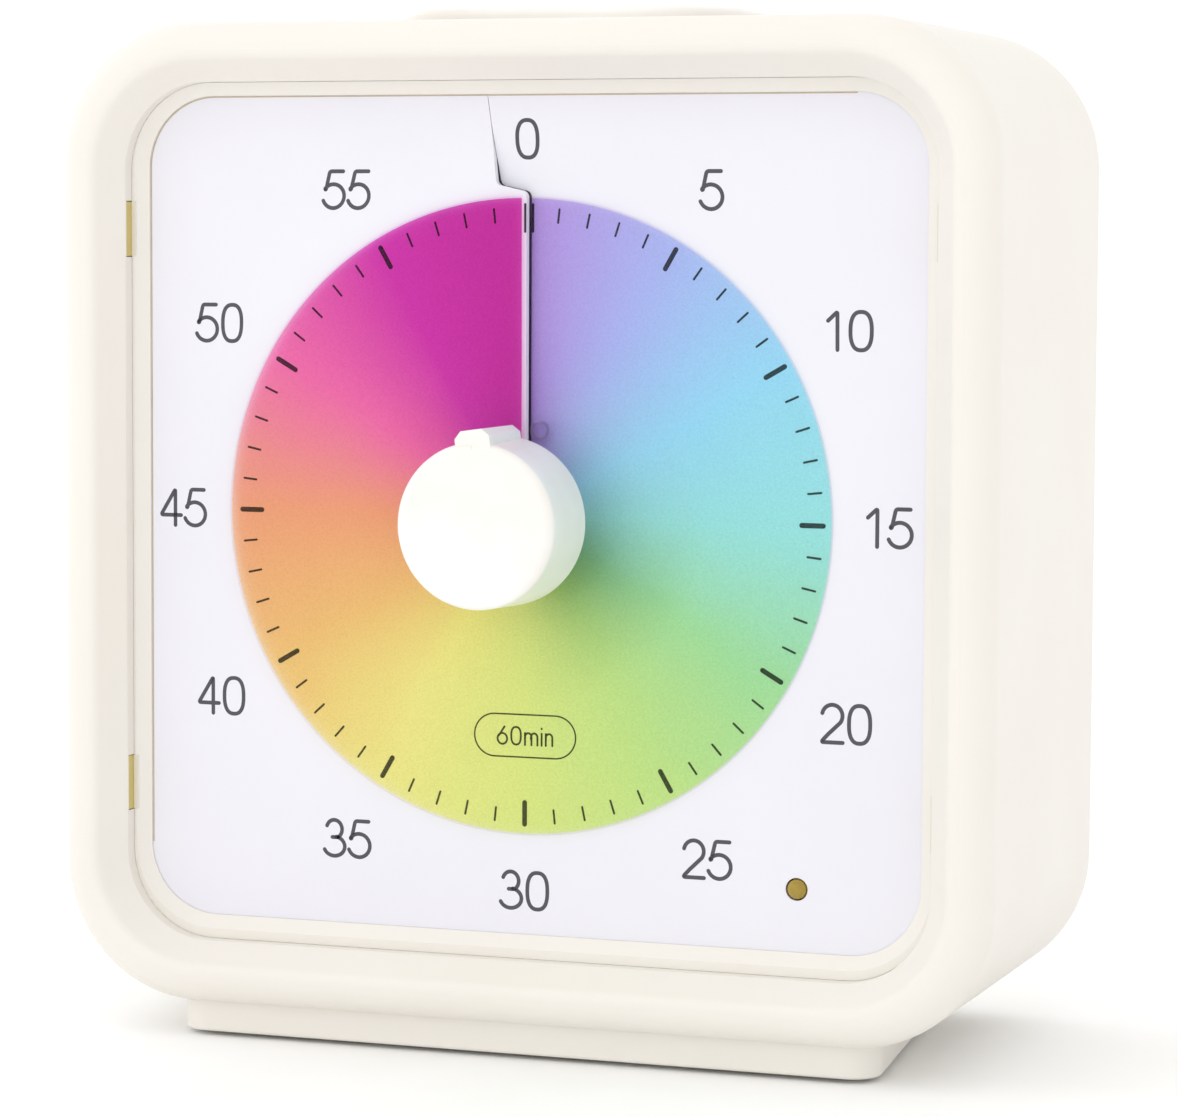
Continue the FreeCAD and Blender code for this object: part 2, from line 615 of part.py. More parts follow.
def dial_plate():
    """The printed dial: cut once from the hub to the top edge, one lip sprung up, one down."""
    half = dim("dial_width") / 2 + 1
    right = sprung_sheet(-10.0, half, 1).common(slit_side(0.0, True))
    left = sprung_sheet(-half, 4.0, -1).common(slit_side(-dim("slit_gap"), False))
    sheet_shape = right.fuse(left)
    trimmed = sheet_shape.common(rounded_block(dim("dial_width"), dim("dial_height"), dim("dial_corner")))
    bored = trimmed.cut(drill(dim("dial_bore")))
    bored = bored.cut(drill(dim("led_radius") + 0.15, dim("led_across"), -dim("led_drop")))
    return feature_node("dial_plate", bored.removeSplitter().Solids[0])


def film_disc():
    """The coloured film: one turn of a thin screw-shaped sheet that dives through the slit."""
    turns = (dim("film_end") - dim("film_start")) / 360
    rise = dim("film_pitch") * turns
    edges = []
    for radius in (dim("hub_radius") + 0.02, dim("film_radius")):
        helix = Part.makeHelix(dim("film_pitch"), rise, radius, 0, True)
        edges.append(helix.Edges[0])
    strip = Part.makeRuledSurface(edges[0], edges[1])
    solid = strip.extrude(FreeCAD.Vector(0, 0, dim("film_gauge")))
    # The helix climbs +Z from +X; stand it up so that it starts beside the slit and climbs
    # towards the viewer while it goes round clockwise.
    solid.rotate(FreeCAD.Vector(0, 0, 0), FreeCAD.Vector(1, 0, 0), 90)
    solid.rotate(FreeCAD.Vector(0, 0, 0), FreeCAD.Vector(0, 1, 0), dim("film_start") - 90)
    level = dim("dial_plane") + dim("dial_gauge") / 2 + dim("film_gauge") / 2
    level -= dim("film_pitch") * dim("film_start") / 360
    solid.translate(FreeCAD.Vector(0, level, dim("dial_level")))
    return feature_node("film_disc", solid)


def film_hub():
    """The collar that carries the film and slides along the spindle as it turns."""
    return turned_body("film_hub", [("hub_front", "spindle_bore"), ("hub_front", "hub_radius"),
                                    ("hub_back", "hub_radius"), ("hub_back", "spindle_bore")])


# ---------------------------------------------------------------- knob and spindle

def setting_knob():
    """The turning knob: hollow behind, with a key along its rim and a pointer on its face."""
    core = "spindle_radius"
    profile = [("knob_front", "0"), ("knob_front", "knob_front_radius"),
               ("knob_back", "knob_back_radius"), ("knob_back", "knob_back_radius - knob_wall"),
               ("knob_front + 3", "knob_front_radius - knob_wall"), ("knob_front + 3", "sleeve_radius"),
               ("sleeve_end", "sleeve_radius"), ("sleeve_end", core),
               ("knob_front + 4", core), ("knob_front + 4", "0")]
    body = turned_body("setting_knob", profile)
    round_edges(body, "knob_round",
                lambda edge: abs(edge.BoundBox.YMax - dim("knob_front")) < 0.01 and edge.Length > 60)
    key = new_sketch(body, "front", "0", "dial_level", "knob_back")
    bind(key, "AttachmentOffset.Rotation.Angle", "key_turn")
    sole, top, turn = "knob_front_radius - 1.4", "key_top", "key_round"
    left, right = "key_offset - key_width / 2", "key_offset + key_width / 2"
    outline(key, [(left, sole), (right, sole), (right, f"{top} - {turn}"), (f"{right} - {turn}", top),
                  (f"{left} + {turn}", top), (left, f"{top} - {turn}")])
    pad(body, key, "knob_back - knob_front - 0.4")
    pointer = new_sketch(body, "front", "0", "dial_level", "knob_front + 0.5")
    bind(pointer, "AttachmentOffset.Rotation.Angle", "key_turn")
    tall = "knob_front_radius - 0.6 - pointer_reach"
    rectangle(pointer, "pointer_width", tall, "0", f"pointer_reach + ({tall}) / 2")
    pad(body, pointer, "0.5")
    return body


def spindle():
    """The steel shaft from the knob to the rear pivot."""
    start = "knob_front + 4.1"
    return turned_body("spindle", [
        (start, "0"), (start, "spindle_radius - 0.01"),
        ("seat_start", "spindle_radius - 0.01"), ("seat_start", "seat_radius"),
        ("seat_end", "seat_radius"), ("seat_end", "pivot_radius"),
        ("movement_back - 0.4", "pivot_radius"), ("movement_back - 0.4", "0")])


def ring_body(label, start, end, bore, outer, across="0", up="dial_level"):
    """A turned ring or sleeve with its axis along +Y."""
    return turned_body(label, [(start, bore), (start, outer), (end, outer), (end, bore)], across, up)


def trip_cam():
    """The notched disc on the spindle that trips the alarm contact at zero."""
    body = ring_body("trip_cam", "-9.3", "-8.4", "seat_radius + 0.01", "5")
    notch = new_sketch(body, "front", "5", "dial_level", "-9.3")
    rectangle(notch, "2.4", "1.6")
    pocket(body, notch, "0.9")
    return body


# ---------------------------------------------------------------- carrier and movement

MOVEMENT_MIDDLE = "dial_level - movement_drop"
MOVEMENT_POSTS = four("movement_post", "movement_reach")
BOARD_POSTS = four("board_width / 2 - 4", "board_height / 2 - 4")


def train_places():
    """Where each arbor stands, as x and z from the dial's middle."""
    pinion = dim("pinion_teeth")
    place = (0.0, 0.0)
    places = {"centre": place}
    for driver, teeth, name in (("centre", "centre_teeth", "third"), ("third", "third_teeth", "fourth"),
                                ("fourth", "fourth_teeth", "rotor")):
        reach = (dim(teeth) + pinion) / 2 * dim("tooth_module") + dim("tooth_clearance")
        bearing = math.radians(dim(name + "_bearing"))
        x, z = places[driver]
        places[name] = (x + reach * math.cos(bearing), z + reach * math.sin(bearing))
    return places


def carrier():
    """The inner plate that holds the movement and the circuit board behind the dial."""
    body = plate_body("carrier", "carrier_front", "carrier_gauge", "carrier_width", "carrier_height",
                      "6", up="dial_level")
    back = "carrier_front + carrier_gauge"
    posts(body, f"{back} - 0.2", f"board_level - ({back}) + 0.2", "2.6", BOARD_POSTS,
          "board_middle", "dial_level - board_drop")
    holes(body, "carrier_front + 0.5", "board_level - carrier_front", "pilot_hole", BOARD_POSTS,
          "board_middle", "dial_level - board_drop")
    holes(body, "carrier_front", "carrier_gauge", "4.62", [("0", "0")], up="dial_level")
    holes(body, "carrier_front", "carrier_gauge", "screw_hole", four("post_across", "post_rise"),
          up="dial_level")
    holes(body, "carrier_front", "carrier_gauge", "pilot_hole", MOVEMENT_POSTS, up=MOVEMENT_MIDDLE)
    holes(body, "carrier_front", "carrier_gauge", "led_radius + 0.7", [("led_across", "-led_drop")],
          up="dial_level")
    return body


def movement_plate():
    """The front half of the movement's housing."""
    body = plate_body("movement_plate", "movement_front", "movement_wall", "movement_width",
                      "movement_height", "4", up=MOVEMENT_MIDDLE)
    holes(body, "movement_front", "movement_wall", "spindle_radius + 0.2", [("0", "0")], up="dial_level")
    holes(body, "movement_front", "movement_wall", "screw_hole", MOVEMENT_POSTS, up=MOVEMENT_MIDDLE)
    arbor_holes(body, "movement_front", "movement_wall")
    return body


def arbor_holes(body, level, depth):
    """Pivot holes for the three arbors."""
    places = train_places()
    names = ("third", "fourth", "rotor")
    spots = [(str(round(places[name][0], 6)), str(round(places[name][1], 6))) for name in names]
    holes(body, level, depth, "arbor_bore", spots, up="dial_level")


def movement_cup():
    """The back half of the movement's housing, with four screw pillars."""
    start = "movement_front + movement_wall"
    body = plate_body("movement_cup", start, f"movement_back - ({start})", "movement_width",
                      "movement_height", "4", up=MOVEMENT_MIDDLE)
    cut_plate_to = "movement_back - movement_wall"
    inside = new_sketch(body, "front", "0", MOVEMENT_MIDDLE, start)
    rounded_rectangle(inside, "movement_width - 2 * movement_wall", "movement_height - 2 * movement_wall",
                      "2.4")
    pocket(body, inside, f"{cut_plate_to} - ({start})")
    posts(body, start, f"movement_back - ({start})", "2.9", MOVEMENT_POSTS, up=MOVEMENT_MIDDLE)
    holes(body, start, f"movement_back - ({start})", "screw_hole", MOVEMENT_POSTS, up=MOVEMENT_MIDDLE)
    holes(body, cut_plate_to, "movement_wall", "pivot_bore", [("0", "0")], up="dial_level")
    arbor_holes(body, cut_plate_to, "movement_wall")
    return body


def toothed_disc(teeth, start, gauge, place, tooth_bearing, bore=0.0):
    """A flat gear: straight-sided teeth with free play, one of them at the given bearing."""
    module = dim("tooth_module")
    pitch = teeth * module / 2
    tip, root = pitch + 0.8 * module, pitch - 1.15 * module
    step = 2 * math.pi / teeth
    half_root, half_tip = 0.24 * step, 0.10 * step
    corners = []
    for tooth in range(int(teeth)):
        middle = math.radians(tooth_bearing) + tooth * step
        for radius, turn in ((root, -half_root), (tip, -half_tip), (tip, half_tip), (root, half_root)):
            corners.append(FreeCAD.Vector(place[0] + radius * math.cos(middle + turn), start,
                                          place[1] + radius * math.sin(middle + turn)))
    for corner in corners:
        corner.z += dim("dial_level")
    disc = Part.Face(Part.makePolygon(corners + corners[:1])).extrude(FreeCAD.Vector(0, gauge, 0))
    if bore:
        disc = disc.cut(rod(bore, start - 1, gauge + 2, place))
    return disc


def rod(radius, start, length, place):
    """A round bar along +Y at a place from the dial's middle."""
    foot = FreeCAD.Vector(place[0], start, place[1] + dim("dial_level"))
    return Part.makeCylinder(radius, length, foot, FreeCAD.Vector(0, 1, 0))


def lightened(disc, start, place, reach, radius, count=4):
    """Cut round windows through a wheel's web."""
    for window in range(count):
        turn = 2 * math.pi * window / count
        spot = (place[0] + reach * math.cos(turn), place[1] + reach * math.sin(turn))
        disc = disc.cut(rod(radius, start - 1, 4, spot))
    return disc


def train_wheels():
    """The clutch wheel on the spindle and the three arbors that drive it."""
    places = train_places()
    gauge = dim("wheel_gauge")
    pinion = dim("pinion_teeth")
    gap = 180 + 180 / pinion
    centre = toothed_disc(dim("centre_teeth"), -11.6, gauge, places["centre"], dim("third_bearing"))
    centre = lightened(centre, -11.6, places["centre"], 9.5, 3.6)
    centre = centre.fuse(rod(3.6, -11.6, gauge + 0.7, places["centre"]))
    centre = centre.cut(rod(dim("seat_radius") + 0.06, -13, 6, places["centre"]))
    feature_node("centre_wheel", centre)
    layers = (("third", "third_teeth", -11.9, -8.0, "third_bearing", "fourth_bearing"),
              ("fourth", "fourth_teeth", -8.3, -4.4, "fourth_bearing", "rotor_bearing"))
    pivots = dim("movement_front") + 0.4
    span = dim("movement_back") - 0.6 - pivots
    for name, teeth, pinion_start, wheel_start, came_from, goes_to in layers:
        place = places[name]
        wheel = toothed_disc(dim(teeth), wheel_start, gauge, place, dim(goes_to))
        wheel = lightened(wheel, wheel_start, place, dim(teeth) * dim("tooth_module") * 0.3, 2.6)
        leaves = toothed_disc(pinion, pinion_start, 1.8, place, dim(came_from) + gap)
        solid = wheel.fuse([leaves, rod(1.3, pinion_start, wheel_start + gauge - pinion_start, place),
                            rod(dim("arbor_radius"), pivots, span, place)])
        feature_node(name + "_wheel", solid)
    place = places["rotor"]
    leaves = toothed_disc(pinion, -4.7, 1.8, place, dim("rotor_bearing") + gap)
    solid = leaves.fuse([rod(1.3, -4.7, 4.0, place), rod(dim("rotor_radius"), -1.8, 2.8, place),
                         rod(dim("arbor_radius"), pivots, span, place)])
    feature_node("rotor", solid)


def stator():
    """The motor's laminated yoke: a hole for the rotor and a limb for the coil."""
    x, z = train_places()["rotor"]
    body = new_body("stator")
    sketch = new_sketch(body, "front", str(round(x + 4, 6)), f"dial_level + {round(z, 6)} + 10", "-0.9")
    rectangle(sketch, "18", "32")
    rectangle(sketch, "10.5", "15.5", "-0.25", "4.45")
    circle(sketch, "rotor_radius + 0.5", "-4", "-10")
    pad(body, sketch, "1.2", backwards=True)
    return body


def coil():
    """The wound bobbin on the yoke's right limb."""
    x, z = train_places()["rotor"]
    across, up = str(round(x + 11, 6)), f"dial_level + {round(z, 6)} + 14.5"
    body = plate_body("coil", "-3.3", "6", "9", "13.4", "1", across, up)
    limb = new_sketch(body, "top", across, "-0.3", f"{up} + 6.7")
    rectangle(limb, "4.1", "1.3")
    pocket(body, limb, "13.4")
    return body


def trip_switch():
    """The alarm's contact pair: two spring strips in an insulating block."""
    body = new_body("trip_switch")
    block = new_sketch(body, "front", "7.5", "dial_level + 17.2", "-10")
    rectangle(block, "7", "4")
    pad(body, block, "2.4", backwards=True)
    strips = new_sketch(body, "front", "0", "dial_level", "-9.4")
    rectangle(strips, "0.3", "19.4", "5.5", "7.5")
    rectangle(strips, "0.3", "16.4", "7.4", "9")
    pad(body, strips, "1.1", backwards=True)
    return body


# ---------------------------------------------------------------- circuit board

def circuit_board():
    """The control board, screwed to four posts behind the carrier."""
    body = plate_body("circuit_board", "board_level", "board_gauge", "board_width", "board_height", "1.5",
                      "board_middle", "dial_level - board_drop")
    holes(body, "board_level", "board_gauge", "screw_hole", BOARD_POSTS, "board_middle",
          "dial_level - board_drop")
    return body


def indicator_led():
    """The 3 mm indicator: domed lens, collar and two legs down to the board."""
    nose = "dial_plane - 0.5"
    profile = [(nose, "0"), (nose, "led_radius * 0.55"), (f"{nose} + 0.5", "led_radius * 0.9"),
               (f"{nose} + 1.1", "led_radius"), ("-16.9", "led_radius"), ("-16.9", "led_radius + 0.3"),
               ("-15.9", "led_radius + 0.3"), ("-15.9", "0")]
    body = turned_body("indicator_led", profile, "led_across", "dial_level - led_drop")
    legs = new_sketch(body, "front", "led_across", "dial_level - led_drop", "-16")
    rectangle(legs, "0.5", "0.5", "-1.27")
    rectangle(legs, "0.5", "0.5", "1.27")
    pad(body, legs, "board_level + 16", backwards=True)
    return body


def control_chip():
    """The controller: a flat package with two rows of legs."""
    body = plate_body("control_chip", "board_level + board_gauge + 0.2", "1.6", "6", "10", "0.3", "14",
                      "dial_level - board_drop")
    legs = new_sketch(body, "front", "14", "dial_level - board_drop", "board_level + board_gauge")
    for step in range(-3, 4):
        rectangle(legs, "8.4", "0.5", "0", f"{1.27 * step:.2f}")
    pad(body, legs, "0.6", backwards=True)
    return body


def buzzer():
    """The sounder: a round can with one hole."""
    start = "board_level + board_gauge"
    body = turned_body("buzzer", [(start, "0"), (start, "buzzer_radius"), (f"{start} + 7", "buzzer_radius"),
                                  (f"{start} + 7", "1.2"), (f"{start} + 5.6", "1.2"),
                                  (f"{start} + 5.6", "0")], "-18", "dial_level - board_drop")
    return body


# ---------------------------------------------------------------- top button

def top_button():
    """The broad push button: hollow cap, retaining flange and a striker for the switch."""
    body = new_body("top_button")
    flange = new_sketch(body, "top", "0", "button_middle", "flange_level")
    rounded_rectangle(flange, "button_width + 3", "button_depth + 3", "button_corner + 1.5")
    pad(body, flange, "1.4")
    cap = new_sketch(body, "top", "0", "button_middle", "flange_level + 1.2")
    rounded_rectangle(cap, "button_width", "button_depth", "button_corner")
    pad(body, cap, "button_top - flange_level - 1.2")
    high = dim("button_top")
    round_edges(body, "1.2", lambda edge: edge.BoundBox.ZMin > high - 0.01)
    hollow = new_sketch(body, "top", "0", "button_middle", "flange_level")
    rounded_rectangle(hollow, "button_width - 4", "button_depth - 4", "button_corner - 2")
    pocket(body, hollow, "button_top - flange_level - crown", backwards=True)
    striker = new_sketch(body, "top", "0", "button_middle", "striker_level")
    circle(striker, "2.2")
    pad(body, striker, "button_top - crown / 2 - striker_level")


def coil_spring(label, x, y, foot, height, radius, wire, turns):
    """A round-wire compression spring standing on +Z, swept with one face to a turn."""
    pitch = (height - wire) / turns
    edges = []
    for k in range(int(turns)):
        turn = Part.makeHelix(pitch, pitch, radius)
        turn.translate(FreeCAD.Vector(0, 0, k * pitch))
        edges += turn.Edges
    path = Part.Wire(edges)
    section = Part.Wire(Part.makeCircle(wire / 2, FreeCAD.Vector(radius, 0, 0), FreeCAD.Vector(0, 1, 0)))
    solid = path.makePipeShell([section], True, True)
    solid.translate(FreeCAD.Vector(x, y, foot + wire / 2))
    return feature_node(label, solid)


def button_springs():
    """The two springs between the bridge and the underside of the button's crown."""
    foot = dim("shelf_level") + dim("shelf_gauge") + 0.1
    height = dim("button_top") - dim("crown") - foot - 0.1
    for side, name in ((-1, "left"), (1, "right")):
        coil_spring(f"button_spring_{name}", side * dim("spring_across"), dim("button_middle"), foot,
                    height, dim("spring_radius"), dim("spring_wire"), dim("spring_turns"))


def button_shelf():
    """The bridge under the button that carries its springs and switch."""
    body = new_body("button_shelf")
    sketch = new_sketch(body, "top", "0", "button_middle", "shelf_level")
    rectangle(sketch, "84", "30")
    pad(body, sketch, "shelf_gauge")
    legs = new_sketch(body, "top", "0", "button_middle", "shelf_level + shelf_gauge - 0.1")
    for side in ("", "-"):
        rectangle(legs, "2.4", "30", f"{side}(40.8)")
    pad(body, legs, "case_base + case_height - wall - shelf_level - shelf_gauge + 0.1")
    return body


def tact_switch():
    """The small push switch in the middle of the bridge."""
    body = new_body("tact_switch")
    case = new_sketch(body, "top", "0", "button_middle", "shelf_level + shelf_gauge")
    rectangle(case, "6", "6")
    pad(body, case, "3.5")
    stem = new_sketch(body, "top", "0", "button_middle", "shelf_level + shelf_gauge + 3.4")
    circle(stem, "1.75")
    pad(body, stem, "1.6")
    return body


# ---------------------------------------------------------------- power and volume

CELL_LEVEL = "back_plane - tray_depth + tray_wall + 0.2 + cell_radius"


def cell(label, side, up):
    """One AA cell lying along X; side is the way that its button end points."""
    body = new_body(label)
    axis = f"tray_level + {up}"
    shell_end = "tray_width / 2 - contact_gauge - 1.6"
    sketch = new_sketch(body, "top", "0", CELL_LEVEL, axis)
    way = "" if side > 0 else "-"
    outline(sketch, [(f"{way}({x})", r) for x, r in (
        (f"{shell_end} - cell_length", "0"), (f"{shell_end} - cell_length", "cell_radius"),
        (shell_end, "cell_radius"), (shell_end, "2.75"), (f"{shell_end} + 1", "2.75"),
        (f"{shell_end} + 1", "0"))])
    revolve(body, sketch)
    round_edges(body, "0.6", lambda edge: edge.Length > 40)
    return body


def contacts():
    """Sprung contacts at the flat ends of the cells and plain ones at the button ends."""
    gauge = dim("contact_gauge")
    level = number(CELL_LEVEL)
    edge = dim("tray_width") / 2
    inner_end = edge - gauge - 1.6 - dim("cell_length")
    for name, side, up in (("upper", 1, 8.0), ("lower", -1, -8.0)):
        z = dim("tray_level") + up
        for kind, way in (("button_contact", side), ("spring_contact", -side)):
            corner = way * (edge - gauge) if way > 0 else -edge
            plate = Part.makeBox(gauge, 12, 12, FreeCAD.Vector(corner, level - 6, z - 6))
            if kind == "spring_contact":
                room = edge - gauge + inner_end - 0.1
                wire = 0.7
                path = Part.Wire(Part.makeHelix((room - wire) / 3, room - wire, 3.2).Edges)
                section = Part.Wire(Part.makeCircle(wire / 2, FreeCAD.Vector(3.2, 0, 0),
                                                    FreeCAD.Vector(0, 1, 0)))
                spring = path.makePipeShell([section], True, True)
                spring.rotate(FreeCAD.Vector(0, 0, 0), FreeCAD.Vector(0, 1, 0), -90 * way)
                spring.translate(FreeCAD.Vector(way * (edge - gauge + 0.2 - wire / 2), level, z))
                plate = plate.fuse(spring)
            feature_node(f"{kind}_{name}", plate)


def battery_door():
    """The hinged door over the cells, with a pin at each end of its lower edge."""
    wide = "tray_width + 4 - 2 * door_gap"
    tall = "tray_height + 4 - 2 * door_gap"
    body = plate_body("battery_door", "back_plane - door_gauge", "door_gauge", wide, tall, "2",
                      up="tray_level")
    low = number(f"tray_level - ({tall}) / 2")

    def lower_edges(edge):
        box = edge.BoundBox
        return abs(box.ZMin - low) < 0.01 and abs(box.ZMax - low) < 0.01 and box.XLength > 10

    pins = new_sketch(body, "side", *HINGE_AXIS, f"-(({wide}) / 2 + 1.2)")
    circle(pins, "hinge_pin")
    pad(body, pins, f"{wide} + 2.4")
    round_edges(body, "door_gauge / 2 - 0.03", lower_edges)
    for row in range(-1, 2):
        rib = new_sketch(body, "front", "0", "tray_level + tray_height / 2 - 5", "back_plane - 0.5")
        rectangle(rib, "16", "0.8", "0", f"{2 * row}")
        pocket(body, rib, "0.5")
    return body


def volume_slider():
    """The loudness slider: a thumb piece on a plate that covers its window."""
    across, up = "switch_across", "dial_level + switch_rise"
    body = plate_body("volume_slider", "cover_plane - 1.4", "1.2", "23", "8", "0.6", across, up)
    thumb = new_sketch(body, "front", across, up, "cover_plane - 0.3")
    rectangle(thumb, "5.6", "3.6")
    pad(body, thumb, "back_plane - 0.2 - cover_plane + 0.3", backwards=True)
    grip = new_sketch(body, "front", across, up, "back_plane - 0.7")
    for step in range(-1, 2):
        rectangle(grip, "0.5", "3.7", f"{1.4 * step:.1f}")
    pocket(body, grip, "0.5")
    return body


def slide_switch():
    """The switch behind the slider, seated on the cover's two rails."""
    across, up = "switch_across", "dial_level + switch_rise"
    return plate_body("slide_switch", "cover_plane - 7.6", "4", "30", "12", "0.5", across, up)


# ---------------------------------------------------------------- build and write

case_shell()
dial_frame()
back_cover()
plinth()
rubber_feet()
screw_set("plinth_screws", "top", "foot_proud + 0.8", "7", PLINTH_SCREWS)
screw_set("cover_screws", "front", "back_plane", "14", four("boss_across", "boss_rise"), up=CASE_MIDDLE)
dial_plate()
film_disc()
film_hub()
setting_knob()
spindle()
ring_body("clutch_spring", "seat_start + 0.05", "seat_start + 0.6", "seat_radius + 0.01", "4.6")
trip_cam()
carrier()
screw_set("carrier_screws", "front", "carrier_front + carrier_gauge + 1.4", "7.6",
          four("post_across", "post_rise"), up="dial_level")
ring_body("spindle_bush", "carrier_front", "carrier_front + carrier_gauge", "spindle_bore", "4.6")
movement_plate()
movement_cup()
screw_set("movement_screws", "front", "movement_back + 1.4", "21", MOVEMENT_POSTS, up=MOVEMENT_MIDDLE)
train_wheels()
stator()
coil()
trip_switch()
circuit_board()
screw_set("board_screws", "front", "board_level + board_gauge + 1.4", "4.6", BOARD_POSTS,
          across="board_middle", up="dial_level - board_drop")
indicator_led()
control_chip()
buzzer()
top_button()
button_springs()
button_shelf()
tact_switch()
battery_door()
cell("cell_upper", 1, "8")
cell("cell_lower", -1, "-8")
contacts()
volume_slider()
slide_switch()

doc.removeObject(probe.Name)
doc.recompute()
for thing in doc.Objects:
    if "Invalid" in thing.State or "Error" in thing.State:
        raise RuntimeError(f"{thing.Label} failed: {thing.State}")
os.makedirs("parts", exist_ok=True)
for node in nodes:
    if node.Shape.isNull() or not node.Shape.isValid():
        raise RuntimeError(f"{node.Label} has no valid shape")
    node.Shape.exportStep(os.path.join("parts", node.Label + ".step"))
    box = node.Shape.BoundBox
    print(f"{node.Label}: {len(node.Shape.Solids)} solid(s), {node.Shape.Volume:.1f} mm3, "
          f"X {box.XMin:.2f}..{box.XMax:.2f} Y {box.YMin:.2f}..{box.YMax:.2f} "
          f"Z {box.ZMin:.2f}..{box.ZMax:.2f}")
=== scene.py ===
"""Desktop countdown timer: its finishes, dial print, coloured film and studio.

Lengths are metres unless a name says mm; the packed frame gives the places.
"""

import math

import bmesh
import bpy
from mathutils import Matrix, Vector
from mathutils.bvhtree import BVHTree


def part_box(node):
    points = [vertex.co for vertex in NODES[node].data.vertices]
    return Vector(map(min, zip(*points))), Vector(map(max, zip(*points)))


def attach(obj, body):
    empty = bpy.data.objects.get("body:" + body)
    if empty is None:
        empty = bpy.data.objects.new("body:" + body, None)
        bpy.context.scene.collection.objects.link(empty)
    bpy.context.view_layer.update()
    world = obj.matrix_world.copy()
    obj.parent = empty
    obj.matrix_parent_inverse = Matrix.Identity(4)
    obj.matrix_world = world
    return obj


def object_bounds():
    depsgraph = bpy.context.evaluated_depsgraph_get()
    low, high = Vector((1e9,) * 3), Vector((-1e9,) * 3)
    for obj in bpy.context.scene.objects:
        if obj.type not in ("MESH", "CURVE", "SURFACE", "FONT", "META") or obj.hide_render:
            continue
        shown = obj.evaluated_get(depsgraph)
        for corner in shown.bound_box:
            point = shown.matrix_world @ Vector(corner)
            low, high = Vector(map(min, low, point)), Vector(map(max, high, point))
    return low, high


bl_info = {
    "name": "Countdown timer finishes",
    "version": (1, 0, 0),
    "blender": (4, 5, 0),
    "location": "3D View > Sidebar > Timer",
    "description": "Finishes, dial print, film and studio for a desktop countdown timer",
    "category": "Object",
}

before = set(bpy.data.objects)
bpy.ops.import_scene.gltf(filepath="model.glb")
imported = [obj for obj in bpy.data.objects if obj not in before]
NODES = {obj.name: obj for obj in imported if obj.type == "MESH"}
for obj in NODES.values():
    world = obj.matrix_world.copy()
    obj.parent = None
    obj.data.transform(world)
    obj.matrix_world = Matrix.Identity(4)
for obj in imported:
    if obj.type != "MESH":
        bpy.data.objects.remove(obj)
CAD_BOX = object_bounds()
MM = 0.001


def middle_of(node):
    """The middle of a CAD node's box."""
    low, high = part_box(node)
    return (low + high) / 2


# The spindle's axis goes through the dial's middle; the film and the ticks turn about it.
DIAL_X, DIAL_Z = middle_of("spindle").x, middle_of("spindle").z
FILM_FRONT, FILM_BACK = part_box("film_disc")[0].y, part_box("film_disc")[1].y
FILM_RADIUS = (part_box("film_disc")[1].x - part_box("film_disc")[0].x) / 2
LENGTH = {"subtype": "DISTANCE", "unit": "LENGTH"}


# ---------------------------------------------------------------- colours and node helpers

def linear(hex_colour):
    """A linear colour from an sRGB hex value."""
    parts = [int(hex_colour[i:i + 2], 16) / 255 for i in (1, 3, 5)]
    return tuple(c / 12.92 if c <= 0.04045 else ((c + 0.055) / 1.055) ** 2.4 for c in parts) + (1.0,)


def add(tree, kind, settings=None, links=None):
    """Add one node with its properties, socket values and incoming links."""
    node = tree.nodes.new(kind)
    for name, value in (settings or {}).items():
        if isinstance(name, str) and hasattr(node, name):
            setattr(node, name, value)
        else:
            node.inputs[name].default_value = value
    for name, source in (links or {}).items():
        tree.links.new(source, node.inputs[name])
    return node


def blank(name):
    """A material with an output node and nothing else."""
    material = bpy.data.materials.new(name)
    material.use_nodes = True
    material.node_tree.nodes.clear()
    return material, material.node_tree, add(material.node_tree, "ShaderNodeOutputMaterial")


def stops(ramp, colours):
    """Set a colour ramp's stops from (place, hex colour) pairs."""
    elements = ramp.color_ramp.elements
    while len(elements) > 1:
        elements.remove(elements[-1])
    elements[0].position, elements[0].color = colours[0][0], linear(colours[0][1])
    for place, colour in colours[1:]:
        element = elements.new(place)
        element.color = linear(colour)


def surface(name, colour, second, patch_mm, grain_mm, roughness, spread, depth_mm, **fixed):
    """A solid finish: two close colours in soft patches, fine grain in the relief and the gloss.

    fixed holds uniform values that are set on the shader's own sockets.
    """
    material, tree, output = blank(name)
    place = add(tree, "ShaderNodeTexCoord").outputs["Object"]
    patches = add(tree, "ShaderNodeTexNoise", {"Scale": 1 / (patch_mm * MM), "Detail": 3.0, "Roughness": 0.55},
                  {"Vector": place})
    grain = add(tree, "ShaderNodeTexNoise", {"Scale": 1 / (grain_mm * MM), "Detail": 2.0, "Roughness": 0.6},
                {"Vector": place})
    tint = add(tree, "ShaderNodeValToRGB", links={"Fac": patches.outputs["Fac"]})
    stops(tint, [(0.3, colour), (0.7, second)])
    gloss = add(tree, "ShaderNodeMapRange", {"To Min": roughness - spread, "To Max": roughness + spread},
                {"Value": grain.outputs["Fac"]})
    relief = add(tree, "ShaderNodeBump", {"Strength": 0.5, "Distance": depth_mm * MM},
                 {"Height": grain.outputs["Fac"]})
    shader = add(tree, "ShaderNodeBsdfPrincipled", fixed,
                 {"Base Color": tint.outputs["Color"], "Roughness": gloss.outputs["Result"],
                  "Normal": relief.outputs["Normal"]})
    tree.links.new(shader.outputs["BSDF"], output.inputs["Surface"])
    return material


# ---------------------------------------------------------------- materials of the outside

def moulded_abs(finish):
    """ABS, moulded in a spark-eroded tool: a fine even grain breaks up the highlights."""
    return surface("moulded_abs", finish.case_colour, finish.case_shade, 38.0, finish.grain_mm, 0.42, 0.05,
                   0.012, **{"IOR": 1.54, "Coat Weight": 0.06, "Coat Roughness": 0.3})


